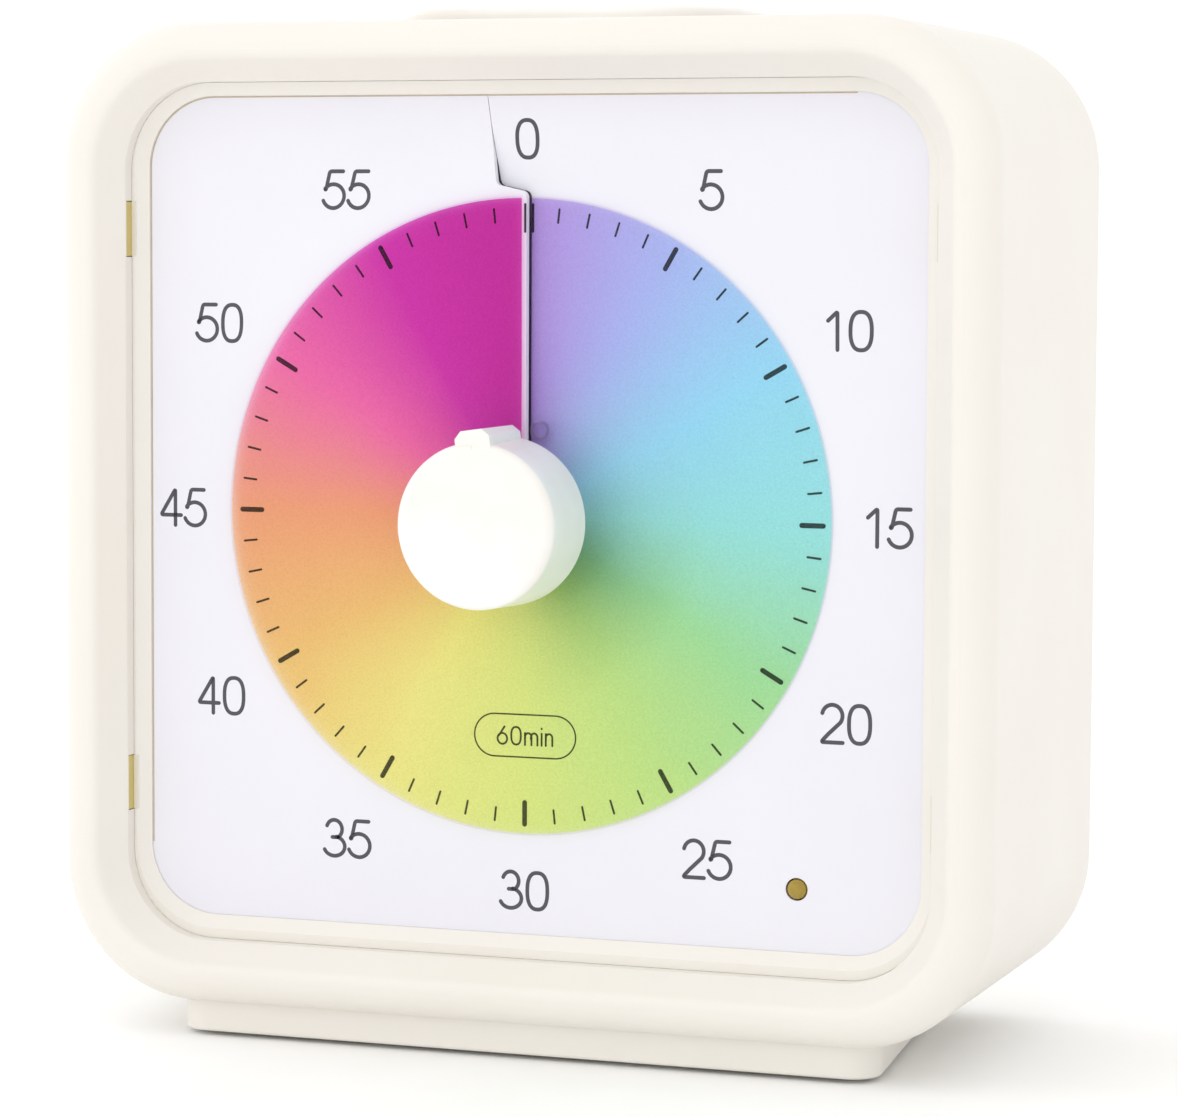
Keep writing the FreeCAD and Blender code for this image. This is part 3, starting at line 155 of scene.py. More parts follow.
def hooked_abs(finish):
    """ABS as on the case, with painted shade on the ring's hooks: the olive of the shadowed slots they sit in."""
    material = moulded_abs(finish)
    material.name = "abs_painted_hook_shade"
    tree = material.node_tree
    shader = tree.nodes["Principled BSDF"]
    face = shader.inputs["Base Color"].links[0].from_socket
    place = add(tree, "ShaderNodeTexCoord").outputs["Object"]
    across = add(tree, "ShaderNodeSeparateXYZ", links={"Vector": place}).outputs["X"]
    out = add(tree, "ShaderNodeMath", {"operation": "ABSOLUTE"}, {0: across})
    # Beyond the ring's reach the hooks get painted shade, an olive colour for the shadowed slots.
    hook_shade_mask = add(tree, "ShaderNodeMath", {"operation": "GREATER_THAN", 1: finish.ring_reach},
               {0: out.outputs["Value"]})
    painted_hook_shade = add(tree, "ShaderNodeMix", {"data_type": "RGBA", 7: linear(finish.hook_colour)},
               {0: hook_shade_mask.outputs["Value"], 6: face})
    tree.links.new(painted_hook_shade.outputs[2], shader.inputs["Base Color"])
    return material


def polished_abs(finish):
    """ABS from a smoother tool, for the knob and button that fingers keep clean and slightly shiny."""
    return surface("polished_abs", finish.knob_colour, finish.case_colour, 30.0, finish.grain_mm * 1.4, 0.36,
                   0.04, 0.006, **{"IOR": 1.54, "Coat Weight": 0.1, "Coat Roughness": 0.25})


def rolled_polystyrene(finish):
    """Rolled polystyrene sheet for the dial: cooler and flatter than the case, with a satin face."""
    return surface("rolled_polystyrene", finish.dial_colour, finish.dial_shade, 45.0, 0.5, 0.34, 0.03, 0.003,
                   **{"IOR": 1.59, "Specular IOR Level": 0.4})


def printing_ink(name, colour, thin):
    """Screen-printed ink: a thin matt film whose density wanders a little."""
    return surface(name, colour, thin, 3.0, 0.12, 0.5, 0.05, 0.002, **{"IOR": 1.5})


def soft_rubber():
    """Moulded elastomer: matt, and scuffed where it meets the table."""
    return surface("moulded_rubber", "#8A8984", "#A09F99", 4.0, 0.3, 0.8, 0.08, 0.03,
                   **{"IOR": 1.52, "Specular IOR Level": 0.25})


def film_colour(tree, finish):
    """The film's printed colour at each place: a wheel of dyes, softly clouded and finely speckled, with painted
    shade and reflection of the knob near the hub.
    """
    place = add(tree, "ShaderNodeTexCoord").outputs["Object"]
    clouds = add(tree, "ShaderNodeTexNoise", {"Scale": 1 / (finish.cloud_mm * MM), "Detail": 2.0},
                 {"Vector": place})
    parts = add(tree, "ShaderNodeSeparateXYZ", links={"Vector": place})
    across = add(tree, "ShaderNodeMath", {"operation": "SUBTRACT", 1: DIAL_X}, {0: parts.outputs["X"]})
    up = add(tree, "ShaderNodeMath", {"operation": "SUBTRACT", 1: DIAL_Z}, {0: parts.outputs["Z"]})
    # atan2 of (-x, -z) runs from -pi just left of the slit's far side to pi, so zero minutes is at the top.
    turned = [add(tree, "ShaderNodeMath", {"operation": "MULTIPLY", 1: -1.0}, {0: n.outputs["Value"]})
              for n in (across, up)]
    bearing = add(tree, "ShaderNodeMath", {"operation": "ARCTAN2"},
                  {0: turned[0].outputs["Value"], 1: turned[1].outputs["Value"]})
    share = add(tree, "ShaderNodeMapRange", {"From Min": -math.pi, "From Max": math.pi},
                {"Value": bearing.outputs["Value"]})
    drift = add(tree, "ShaderNodeMapRange", {"To Min": -finish.cloud_drift, "To Max": finish.cloud_drift},
                {"Value": clouds.outputs["Fac"]})
    # The drift dies away at both ends of the turn, so that the first and last colours stay clean.
    fade = add(tree, "ShaderNodeMath", {"operation": "SINE"},
               {0: add(tree, "ShaderNodeMath", {"operation": "MULTIPLY", 1: math.pi},
                       {0: share.outputs["Result"]}).outputs["Value"]})
    shift = add(tree, "ShaderNodeMath", {"operation": "MULTIPLY"},
                {0: drift.outputs["Result"], 1: fade.outputs["Value"]})
    minute = add(tree, "ShaderNodeMath", {"operation": "ADD"},
                 {0: share.outputs["Result"], 1: shift.outputs["Value"]})
    # The ramp near the hub holds painted shade of the knob, darker at 15 to 25 minutes where its shadow falls, and
    # a painted reflection of it, paler at 5 and 10 minutes.
    outer = add(tree, "ShaderNodeValToRGB", links={"Fac": minute.outputs["Value"]})
    inner = add(tree, "ShaderNodeValToRGB", links={"Fac": minute.outputs["Value"]})
    for ramp, wheel in ((outer, finish.wheel_outer), (inner, finish.wheel_inner)):
        hues = wheel.split()
        stops(ramp, [(k / (len(hues) - 1), hue) for k, hue in enumerate(hues)])
    reach = add(tree, "ShaderNodeMath", {"operation": "POWER", 1: 0.5}, {0: add(
        tree, "ShaderNodeMath", {"operation": "ADD"},
        {k: add(tree, "ShaderNodeMath", {"operation": "POWER", 1: 2.0}, {0: n.outputs["Value"]}).outputs["Value"]
         for k, n in enumerate((across, up))}).outputs["Value"]})
    outward = add(tree, "ShaderNodeMapRange", {"From Min": 15 * MM, "From Max": 32 * MM},
                  {"Value": reach.outputs["Value"]})
    blend = add(tree, "ShaderNodeMix", {"data_type": "RGBA"},
                {"Factor": outward.outputs["Result"], 6: inner.outputs["Color"], 7: outer.outputs["Color"]})
    speckle = add(tree, "ShaderNodeTexNoise", {"Scale": 1 / (finish.speckle_mm * MM), "Detail": 1.0},
                  {"Vector": place})
    level = add(tree, "ShaderNodeMapRange", {"To Min": 0.78, "To Max": 1.18}, {"Value": speckle.outputs["Fac"]})
    shade = add(tree, "ShaderNodeMix", {"data_type": "RGBA", "blend_type": "MULTIPLY", 0: 1.0},
                {6: blend.outputs[2], 7: level.outputs["Result"]})
    # Clear margins: a ring at the rim and a strip along the leading edge, left of the slit.
    rim = add(tree, "ShaderNodeMath", {"operation": "GREATER_THAN", 1: FILM_RADIUS - finish.margin},
              {0: reach.outputs["Value"]})
    left = add(tree, "ShaderNodeMath", {"operation": "GREATER_THAN", 1: -0.25 * finish.margin},
               {0: across.outputs["Value"]})
    late = add(tree, "ShaderNodeMath", {"operation": "GREATER_THAN", 1: 0.9}, {0: share.outputs["Result"]})
    lead = add(tree, "ShaderNodeMath", {"operation": "MULTIPLY"},
               {0: left.outputs["Value"], 1: late.outputs["Value"]})
    margin = add(tree, "ShaderNodeMath", {"operation": "MAXIMUM"},
                 {0: rim.outputs["Value"], 1: lead.outputs["Value"]})
    return add(tree, "ShaderNodeMix", {"data_type": "RGBA", 7: linear(finish.margin_colour)},
               {0: margin.outputs["Value"], 6: shade.outputs[2]}).outputs[2]


def dyed_polyester(finish):
    """Dyed polyester film: clear enough that the dial's print shows through, glossy like glass.

    Light crosses its two faces on the way in and again on the way out, so that each face takes the
    fourth root of the colour that is seen.
    """
    material, tree, output = blank("dyed_polyester")
    seen = film_colour(tree, finish)
    root = add(tree, "ShaderNodeGamma", {"Gamma": 0.25}, {"Color": seen})
    through = add(tree, "ShaderNodeBsdfTransparent", links={"Color": root.outputs["Color"]})
    mirror = add(tree, "ShaderNodeBsdfGlossy", {"Roughness": 0.05, "Color": (1, 1, 1, 1)})
    share = add(tree, "ShaderNodeFresnel", {"IOR": 1.57})
    coated = add(tree, "ShaderNodeMath", {"operation": "MULTIPLY", 1: 0.2}, {0: share.outputs["Fac"]})
    mixed = add(tree, "ShaderNodeMixShader",
                links={0: coated.outputs["Value"], 1: through.outputs["BSDF"], 2: mirror.outputs["BSDF"]})
    tree.links.new(mixed.outputs["Shader"], output.inputs["Surface"])
    return material


def clear_polyester():
    """Clear polyester: seen only by its gloss and by the pale line along its cut edge."""
    material, tree, output = blank("clear_polyester")
    place = add(tree, "ShaderNodeTexCoord").outputs["Object"]
    haze = add(tree, "ShaderNodeTexNoise", {"Scale": 1 / (2.5 * MM)}, {"Vector": place})
    gloss = add(tree, "ShaderNodeMapRange", {"To Min": 0.03, "To Max": 0.1}, {"Value": haze.outputs["Fac"]})
    through = add(tree, "ShaderNodeBsdfTransparent", {"Color": (0.93, 0.93, 0.95, 1)})
    mirror = add(tree, "ShaderNodeBsdfGlossy", {"Color": (1, 1, 1, 1)}, {"Roughness": gloss.outputs["Result"]})
    share = add(tree, "ShaderNodeFresnel", {"IOR": 1.6})
    mixed = add(tree, "ShaderNodeMixShader",
                links={0: share.outputs["Fac"], 1: through.outputs["BSDF"], 2: mirror.outputs["BSDF"]})
    tree.links.new(mixed.outputs["Shader"], output.inputs["Surface"])
    return material


def diffused_epoxy():
    """Diffused epoxy, cast with pigment: the lamp is off, so that it looks like amber wax."""
    return surface("diffused_epoxy", "#9A8012", "#A88C1E", 0.9, 0.25, 0.22, 0.04, 0.004,
                   **{"IOR": 1.53, "Subsurface Weight": 0.3, "Subsurface Scale": 0.0015,
                      "Coat Weight": 0.4, "Coat Roughness": 0.06})


# ---------------------------------------------------------------- materials of the works

def works_materials():
    """The finishes that show only with the covers off, by name."""
    return {
        # Dull grey moulding, faintly cloudy.
        "glass_filled_abs": surface("glass_filled_abs", "#C9C8C4", "#D2D1CD", 12.0, 0.4, 0.5, 0.06, 0.01,
                                    **{"IOR": 1.54}),
        # The milky, waxy white of gear plastic.
        "natural_acetal": surface("natural_acetal", "#E9E7DF", "#F1EFE8", 8.0, 0.5, 0.38, 0.05, 0.006,
                                  **{"IOR": 1.48}),
        # Near black, with a soft sheen along its edges.
        "black_nylon": surface("black_nylon", "#17181A", "#1E1F21", 4.0, 0.25, 0.45, 0.06, 0.008,
                               **{"IOR": 1.53}),
        # Deep green lacquer under a clear gloss.
        "solder_mask": surface("solder_mask", "#1C5B34", "#206A3C", 6.0, 0.35, 0.28, 0.05, 0.006,
                               **{"IOR": 1.5, "Coat Weight": 0.5, "Coat Roughness": 0.15}),
        # Bright silver with a slightly patchy shine.
        "zinc_plated_steel": surface("zinc_plated_steel", "#B9BCC0", "#C8CACC", 1.2, 0.2, 0.3, 0.08, 0.004,
                                     **{"Metallic": 1.0}),
        # A darker, smoother silver with tight highlights.
        "spring_steel": surface("spring_steel", "#A9ABAE", "#BDBEC0", 1.5, 0.15, 0.24, 0.06, 0.003,
                                **{"Metallic": 1.0}),
        # Warm yellow metal with a fine grain.
        "turned_brass": surface("turned_brass", "#D0A95C", "#DDB970", 2.0, 0.15, 0.25, 0.06, 0.003,
                                **{"Metallic": 1.0}),
        # Dark grey metal with a dull shine.
        "silicon_steel": surface("silicon_steel", "#5B5D60", "#6A6C6F", 3.0, 0.25, 0.4, 0.08, 0.006,
                                 **{"Metallic": 1.0}),
        # A red-brown winding that glints grain by grain.
        "enamelled_copper": surface("enamelled_copper", "#9C4F22", "#B2622C", 0.9, 0.11, 0.32, 0.08, 0.02,
                                    **{"Metallic": 1.0}),
        # Flat charcoal with a sandy break-up.
        "sintered_ferrite": surface("sintered_ferrite", "#3A3A3C", "#474749", 1.5, 0.15, 0.55, 0.08, 0.01,
                                    **{"Metallic": 0.6}),
        # A glossy blue-black jacket.
        "shrink_sleeve": surface("shrink_sleeve", "#23303F", "#2B3A4C", 9.0, 0.8, 0.25, 0.04, 0.01,
                                 **{"IOR": 1.52, "Coat Weight": 0.4, "Coat Roughness": 0.1}),
    }


def coat(node, *materials):
    """Give a CAD node its finish."""
    mesh = NODES[node].data
    mesh.materials.clear()
    for material in materials:
        mesh.materials.append(material)


# ---------------------------------------------------------------- mesh helpers

def object_from(name, build, material, body):
    """Make a mesh object with bmesh code, dress it and let it ride on a body."""
    work = bmesh.new()
    build(work)
    bmesh.ops.recalc_face_normals(work, faces=work.faces)
    mesh = bpy.data.meshes.new(name)
    work.to_mesh(mesh)
    work.free()
    mesh.materials.append(material)
    piece = bpy.data.objects.new(name, mesh)
    bpy.context.scene.collection.objects.link(piece)
    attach(piece, body)
    return piece


class DialFace:
    """Reads how far forward the dial's face lies at each place, as its lips are bowed at the slit."""

    def __init__(self):
        mesh = NODES["dial_plate"].data
        self.tree = BVHTree.FromPolygons([v.co for v in mesh.vertices], [p.vertices for p in mesh.polygons])
        self.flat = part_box("dial_frame")[0].y

    def depth(self, x, z):
        """The face's Y at a place measured from the dial's middle, or None off its edge."""
        start = Vector((DIAL_X + x, self.flat - 20 * MM, DIAL_Z + z))
        hit = self.tree.ray_cast(start, Vector((0, 1, 0)))
        return hit[0].y if hit[0] else None


def rounded_corner(before, corner, after, radius, steps):
    """Points that replace a sharp corner with an arc, drawn as a quadratic bend."""
    first = corner + (before - corner).normalized() * min(radius, (before - corner).length / 2)
    last = corner + (after - corner).normalized() * min(radius, (after - corner).length / 2)
    points = []
    for k in range(steps + 1):
        t = k / steps
        points.append(first * (1 - t) ** 2 + corner * 2 * t * (1 - t) + last * t ** 2)
    return points


def softened(path, radius):
    """The path with each sharp turn rounded by the pen's own width."""
    smooth = [path[0]]
    for before, corner, after in zip(path, path[1:], path[2:]):
        turn = (corner - before).angle(after - corner, 0)
        if turn > math.radians(25):
            smooth += rounded_corner(before, corner, after, radius, 5)
        else:
            smooth.append(corner)
    return smooth + [path[-1]]


def pen_stations(path, half, closed):
    """(place, sideways direction, half width) along a stroke; open strokes get round ends."""
    count = len(path)
    stations = []
    for k, spot in enumerate(path):
        before = path[(k - 1) % count] if closed or k else path[0]
        after = path[(k + 1) % count] if closed or k < count - 1 else path[-1]
        along = (after - before).normalized()
        stations.append((spot, Vector((-along.y, along.x)), half))
    if closed:
        return stations
    caps = [math.sin(math.radians(a)) for a in (20, 45, 70, 88)]
    head, tail = stations[0], stations[-1]
    back, onward = (path[0] - path[1]).normalized(), (path[-1] - path[-2]).normalized()
    starts = [(head[0] + back * half * s, head[1], half * math.sqrt(1 - s * s)) for s in reversed(caps)]
    ends = [(tail[0] + onward * half * s, tail[1], half * math.sqrt(1 - s * s)) for s in caps]
    return starts + stations + ends


def divided(path, longest, closed):
    """The path with points added, so that the ink follows the bowed sheet."""
    ends = path[1:] + (path[:1] if closed else [])
    points = []
    for start, end in zip(path, ends):
        count = max(1, math.ceil((end - start).length / longest))
        points += [start.lerp(end, k / count) for k in range(count)]
    return points if closed else points + [path[-1]]


def print_stroke(work, face, path, half, raised, closed=False):
    """A printed line: a low ridge that follows the dial's face along a path."""
    stations = pen_stations(divided(path, 0.8 * MM, closed), half, closed)
    rings = []
    for spot, sideways, reach in stations:
        corners = []
        for side in (1, -1):
            edge = spot + sideways * reach * side
            corners.append((edge, face.depth(edge.x, edge.y)))
        if None in (corners[0][1], corners[1][1]):
            continue
        ring = []
        for (edge, depth), lift in ((corners[0], raised), (corners[1], raised), (corners[1], -raised),
                                    (corners[0], -raised)):
            ring.append(work.verts.new((DIAL_X + edge.x, depth - lift, DIAL_Z + edge.y)))
        rings.append(ring)
    spans = list(zip(rings, rings[1:])) + ([(rings[-1], rings[0])] if closed else [])
    for first, second in spans:
        for k in range(4):
            work.faces.new((first[k], first[(k + 1) % 4], second[(k + 1) % 4], second[k]))
    if not closed:
        work.faces.new(rings[0])
        work.faces.new(reversed(rings[-1]))


# ---------------------------------------------------------------- lettering

def arc(x, z, across, tall, start, end, steps=22):
    """Points of an ellipse's arc between two bearings in degrees, counted anticlockwise from +X."""
    turns = [math.radians(start + (end - start) * k / steps) for k in range(steps + 1)]
    return [(x + across * math.cos(t), z + tall * math.sin(t)) for t in turns]


def barrel(width, height, squareness=2.5, steps=48):
    """The outline of a nought: an oval with slightly straightened sides."""
    points = []
    for k in range(steps):
        t = 2 * math.pi * k / steps
        c, s = math.cos(t), math.sin(t)
        points.append((width / 2 * (1 + math.copysign(abs(c) ** (2 / squareness), c)),
                       height / 2 * (1 + math.copysign(abs(s) ** (2 / squareness), s))))
    return points


def figures(tall):
    """Each figure's strokes as drawn with a round pen: {figure: (width, [(points, closed), ...])}."""
    w = 0.58 * tall
    bowl = 0.325 * tall
    return {
        "0": (w, [(barrel(w, tall), True)]),
        "1": (0.45 * tall, [([(0.0, 0.76 * tall), (0.26 * tall, tall), (0.26 * tall, 0.0)], False)]),
        "2": (w, [(arc(w / 2, tall - 0.29 * tall, w / 2 - 0.01 * tall, 0.29 * tall, 168, -38)
                   + [(0.30 * w, 0.21 * tall), (0.06 * w, 0.06 * tall), (0.0, 0.0), (w, 0.0)], False)]),
        "3": (w, [(arc(0.46 * w, 0.745 * tall, 0.40 * w, 0.255 * tall, 160, -62)
                   + [(0.36 * w, 0.52 * tall)], False),
                  (arc(0.46 * w, 0.27 * tall, 0.54 * w, 0.27 * tall, 78, -158), False)]),
        "4": (1.06 * w, [([(0.76 * w, 0.0), (0.76 * w, tall), (0.0, 0.28 * tall), (1.06 * w, 0.28 * tall)],
                          False)]),
        "5": (w, [([(0.93 * w, tall), (0.25 * w, tall), (0.05 * w, 0.49 * tall)]
                   + arc(w - bowl, bowl, bowl, bowl, 143, -158), False)]),
        "6": (w, [([(0.72 * w, tall), (0.13 * w, 0.47 * tall)]
                   + arc(w / 2, 0.31 * tall, w / 2, 0.31 * tall, 150, 510, 36), False)]),
    }


def small_letters(tall):
    """The three letters of the minute sign, drawn with the same pen as the figures."""
    w = 0.58 * tall
    n = [([(0.0, 0.0), (0.0, tall)], False),
         ([(0.0, 0.5 * tall)] + arc(w / 2, 0.66 * tall, w / 2, 0.34 * tall, 172, 0, 12) + [(w, 0.0)], False)]
    hump = [([(x + 0.92 * w, z) for x, z in n[1][0]], False)]
    return {
        "m": (1.92 * w, n + hump),
        "i": (0.0, [([(0.0, 0.0), (0.0, tall)], False), ([(0.0, 1.4 * tall), (0.0, 1.43 * tall)], False)]),
        "n": (w, n),
    }


def set_line(work, face, words, glyphs, middle, gap, half, raised):
    """Set a line of figures centred on a place, with an even gap between them."""
    width = sum(glyphs[c][0] for c in words) + gap * (len(words) - 1)
    left = middle[0] - width / 2
    for character in words:
        advance, strokes = glyphs[character]
        for points, closed in strokes:
            path = [Vector((left + x, middle[1] + z)) for x, z in points]
            if not closed:
                path = softened(path, half * 1.2)
            print_stroke(work, face, path, half, raised, closed)
        left += advance + gap


# ---------------------------------------------------------------- settings

class CaseFinish(bpy.types.PropertyGroup):
    """Colours of the mouldings and the dial sheet."""

    case_colour: bpy.props.StringProperty(name="Case", description="Main case colour", default="#EBE6DE")
    case_shade: bpy.props.StringProperty(name="Case shade", description="Its paler patches",
                                         default="#EDE9E1")
    knob_colour: bpy.props.StringProperty(name="Knob", description="Knob and button", default="#FDFCFA")
    dial_colour: bpy.props.StringProperty(name="Dial", description="Dial sheet", default="#E7E6EE")
    dial_shade: bpy.props.StringProperty(name="Dial shade", description="Its paler patches",
                                         default="#EAE9F0")
    # The hooks' colour is painted shade, the olive of the shadowed slots in the recess wall; the ring's reach
    # below sets where it starts.
    hook_colour: bpy.props.StringProperty(name="Hooks", description="Bare hooks of the ring",
                                          default="#CDBB72")
    ring_reach: bpy.props.FloatProperty(name="Ring reach", description="Half width of the sprayed ring",
                                        default=71.71 * MM, **LENGTH)
    grain_mm: bpy.props.FloatProperty(name="Grain", description="Mould grain pitch in millimetres",
                                      default=0.55, min=0.1, max=3.0)


class PrintFinish(bpy.types.PropertyGroup):
    """Sizes of everything printed on the dial, and of the painted shadow line along its edge."""

    ink: bpy.props.StringProperty(name="Figures' ink", description="Soft grey ink", default="#46464D")
    tick_ink: bpy.props.StringProperty(name="Ticks' ink", description="Darker ink", default="#28282B")
    figure_height: bpy.props.FloatProperty(name="Figure height", description="Between stroke middles",
                                           default=6.2 * MM, **LENGTH)
    figure_stroke: bpy.props.FloatProperty(name="Figure stroke", description="Pen width of the figures",
                                           default=0.67 * MM, **LENGTH)
    figure_gap: bpy.props.FloatProperty(name="Figure gap", description="Between stroke middles",
                                        default=1.05 * MM, **LENGTH)
    upper_sink: bpy.props.FloatProperty(name="Upper sink", description="How far the 5 and 55 stand below the ring",
                                        default=1.87 * MM, **LENGTH)
    figure_ring: bpy.props.FloatProperty(name="Figure ring", description="Radius of the figures' middles",
                                         default=63.0 * MM, **LENGTH)
    side_ring: bpy.props.FloatProperty(name="Oblique ring", description="The same, for the oblique figures",
                                       default=64.6 * MM, **LENGTH)
    minute_radius: bpy.props.FloatProperty(name="Minute ticks", description="Radius of their middles",
                                           default=50.5 * MM, **LENGTH)
    minute_length: bpy.props.FloatProperty(name="Minute tick length", description="End to end",
                                           default=2.6 * MM, **LENGTH)
    minute_width: bpy.props.FloatProperty(name="Minute tick width", description="Pen width",
                                          default=0.37 * MM, **LENGTH)
    five_radius: bpy.props.FloatProperty(name="Five-minute ticks", description="Radius of their middles",
                                         default=49.9 * MM, **LENGTH)
    five_length: bpy.props.FloatProperty(name="Five-minute tick length", description="End to end",
                                         default=4.5 * MM, **LENGTH)
    five_width: bpy.props.FloatProperty(name="Five-minute tick width", description="Pen width",
                                        default=0.85 * MM, **LENGTH)
    badge_width: bpy.props.FloatProperty(name="Badge width", description="Outline of the hour badge",
                                         default=18.1 * MM, **LENGTH)
    badge_height: bpy.props.FloatProperty(name="Badge height", description="Outline of the hour badge",
                                          default=7.2 * MM, **LENGTH)
    badge_drop: bpy.props.FloatProperty(name="Badge drop", description="Its middle below the dial's middle",
                                        default=36.8 * MM, **LENGTH)
    shade: bpy.props.StringProperty(name="Thin ink", description="Figures where the ink is thin",
                                    default="#4C4C53")
    tick_shade: bpy.props.StringProperty(name="Thin tick ink", description="Ticks where the ink is thin",
                                         default="#2D2D30")
    # The line at the sheet's edge is painted shadow: the shade where the sheet meets the ring, given the printing
    # ink's finish.
    border_ink: bpy.props.StringProperty(name="Border ink", description="Hairline at the sheet's edge",
                                         default="#B9A888")
    border_shade: bpy.props.StringProperty(name="Thin border ink", description="Hairline where it is thin",
                                           default="#C2B294")
    border_width: bpy.props.FloatProperty(name="Border width", description="Hairline round the sheet",
                                          default=137.7 * MM, **LENGTH)
    border_height: bpy.props.FloatProperty(name="Border height", description="Hairline round the sheet",
                                           default=140.5 * MM, **LENGTH)
    border_corner: bpy.props.FloatProperty(name="Border corner", description="Its corner radius",
                                           default=12.0 * MM, **LENGTH)
    border_line: bpy.props.FloatProperty(name="Border line", description="Its line width",
                                         default=0.22 * MM, **LENGTH)
    raised: bpy.props.FloatProperty(name="Ink height", description="How far the ink stands off the sheet",
                                    default=0.015 * MM, **LENGTH)


class FilmFinish(bpy.types.PropertyGroup):
    """Colours of the film, one every five minutes from nought to sixty."""

    wheel_outer: bpy.props.StringProperty(
        name="Outer colours", description="Hex colours from 0 to 60 minutes, near the rim",
        default="#C59FEB #B6C6FB #A3E9FF #A5F3EA #AEF0A6 #CFF590 #ECFB8C #FFF98F #FFD07C #FFAD7E #FF75B1 "
                "#DC37B0 #CE2B9F")
    # The colours near the hub carry painted shade of the knob at 15 to 25 minutes and a faint painted reflection
    # of it at 5 and 10 minutes.
    wheel_inner: bpy.props.StringProperty(
        name="Inner colours", description="The same, near the hub",
        default="#BD93E8 #B9CCFB #A9EAFF #A2EADC #8FCE90 #AAD87A #E6F588 #FFF885 #FFCC7C #FFA97B #FF72AC "
                "#DB3CB0 #CE2B9F")
    margin_colour: bpy.props.StringProperty(name="Clear margin", description="Colour of the clear margins",
                                            default="#E9E4EE")
    margin: bpy.props.FloatProperty(name="Margin width", description="Clear margin at rim and edge",
                                    default=0.3 * MM, **LENGTH)
    cloud_mm: bpy.props.FloatProperty(name="Clouds", description="Size of the soft clouds in mm", default=14.0)
    cloud_drift: bpy.props.FloatProperty(name="Cloud drift", description="Share of a turn they shift colour",
                                         default=0.016)
    speckle_mm: bpy.props.FloatProperty(name="Speckle", description="Grain of the dye in mm", default=0.35)


class StudioSetup(bpy.types.PropertyGroup):
    """Camera, floor and lamps."""

    azimuth: bpy.props.FloatProperty(name="Azimuth", description="Round from the front",
                                     default=math.radians(19.66), subtype="ANGLE", unit="ROTATION")
    elevation: bpy.props.FloatProperty(name="Elevation", description="Above the level",
                                       default=math.radians(4.573), subtype="ANGLE", unit="ROTATION")
    roll: bpy.props.FloatProperty(name="Roll", description="Lean of the camera",
                                  default=math.radians(0.265), subtype="ANGLE", unit="ROTATION")
    distance: bpy.props.FloatProperty(name="Distance", description="From the dial's middle",
                                      default=682.3 * MM, **LENGTH)
    aim_right: bpy.props.FloatProperty(name="Aim right", description="View's middle, right of the dial's",
                                       default=10.55 * MM, **LENGTH)
    aim_down: bpy.props.FloatProperty(name="Aim down", description="View's middle, below the dial's",
                                      default=6.8 * MM, **LENGTH)
    lens: bpy.props.FloatProperty(name="Lens", description="Focal length in mm", default=124.67)
    floor_colour: bpy.props.StringProperty(name="Floor", description="Pale floor", default="#FEFEFE")
    sky: bpy.props.FloatProperty(name="Soft light", description="Brightness of the even light", default=1.15)
    lean: bpy.props.FloatProperty(name="Lean", description="How much brighter the left is than the middle",
                                  default=0.2)
    key: bpy.props.FloatProperty(name="Key lamp", description="Power of the upper left lamp in watts",
                                 default=0.8)
    fill: bpy.props.FloatProperty(name="Fill lamp", description="Power of the right lamp in watts",
                                  default=0.15)


GROUPS = {"timer_case": CaseFinish, "timer_print": PrintFinish, "timer_film": FilmFinish,
          "timer_studio": StudioSetup}


# ---------------------------------------------------------------- operators

class TIMER_OT_case(bpy.types.Operator):
    """Finish the case, its covers, the plinth and the feet"""

    bl_idname = "timer.case"
    bl_label = "Case and covers"

    def execute(self, context):
        finish = context.scene.timer_case
        abs_plastic = moulded_abs(finish)
        for node in ("case_shell", "back_cover", "plinth", "battery_door"):
            coat(node, abs_plastic)
        coat("dial_frame", hooked_abs(context.scene.timer_case))
        coat("rubber_feet", soft_rubber())
        return {"FINISHED"}


class TIMER_OT_controls(bpy.types.Operator):
    """Finish the knob, the top button and the loudness slider"""

    bl_idname = "timer.controls"
    bl_label = "Knob, button and slider"

    def execute(self, context):
        polished = polished_abs(context.scene.timer_case)
        for node in ("setting_knob", "top_button", "volume_slider"):
            coat(node, polished)
        return {"FINISHED"}


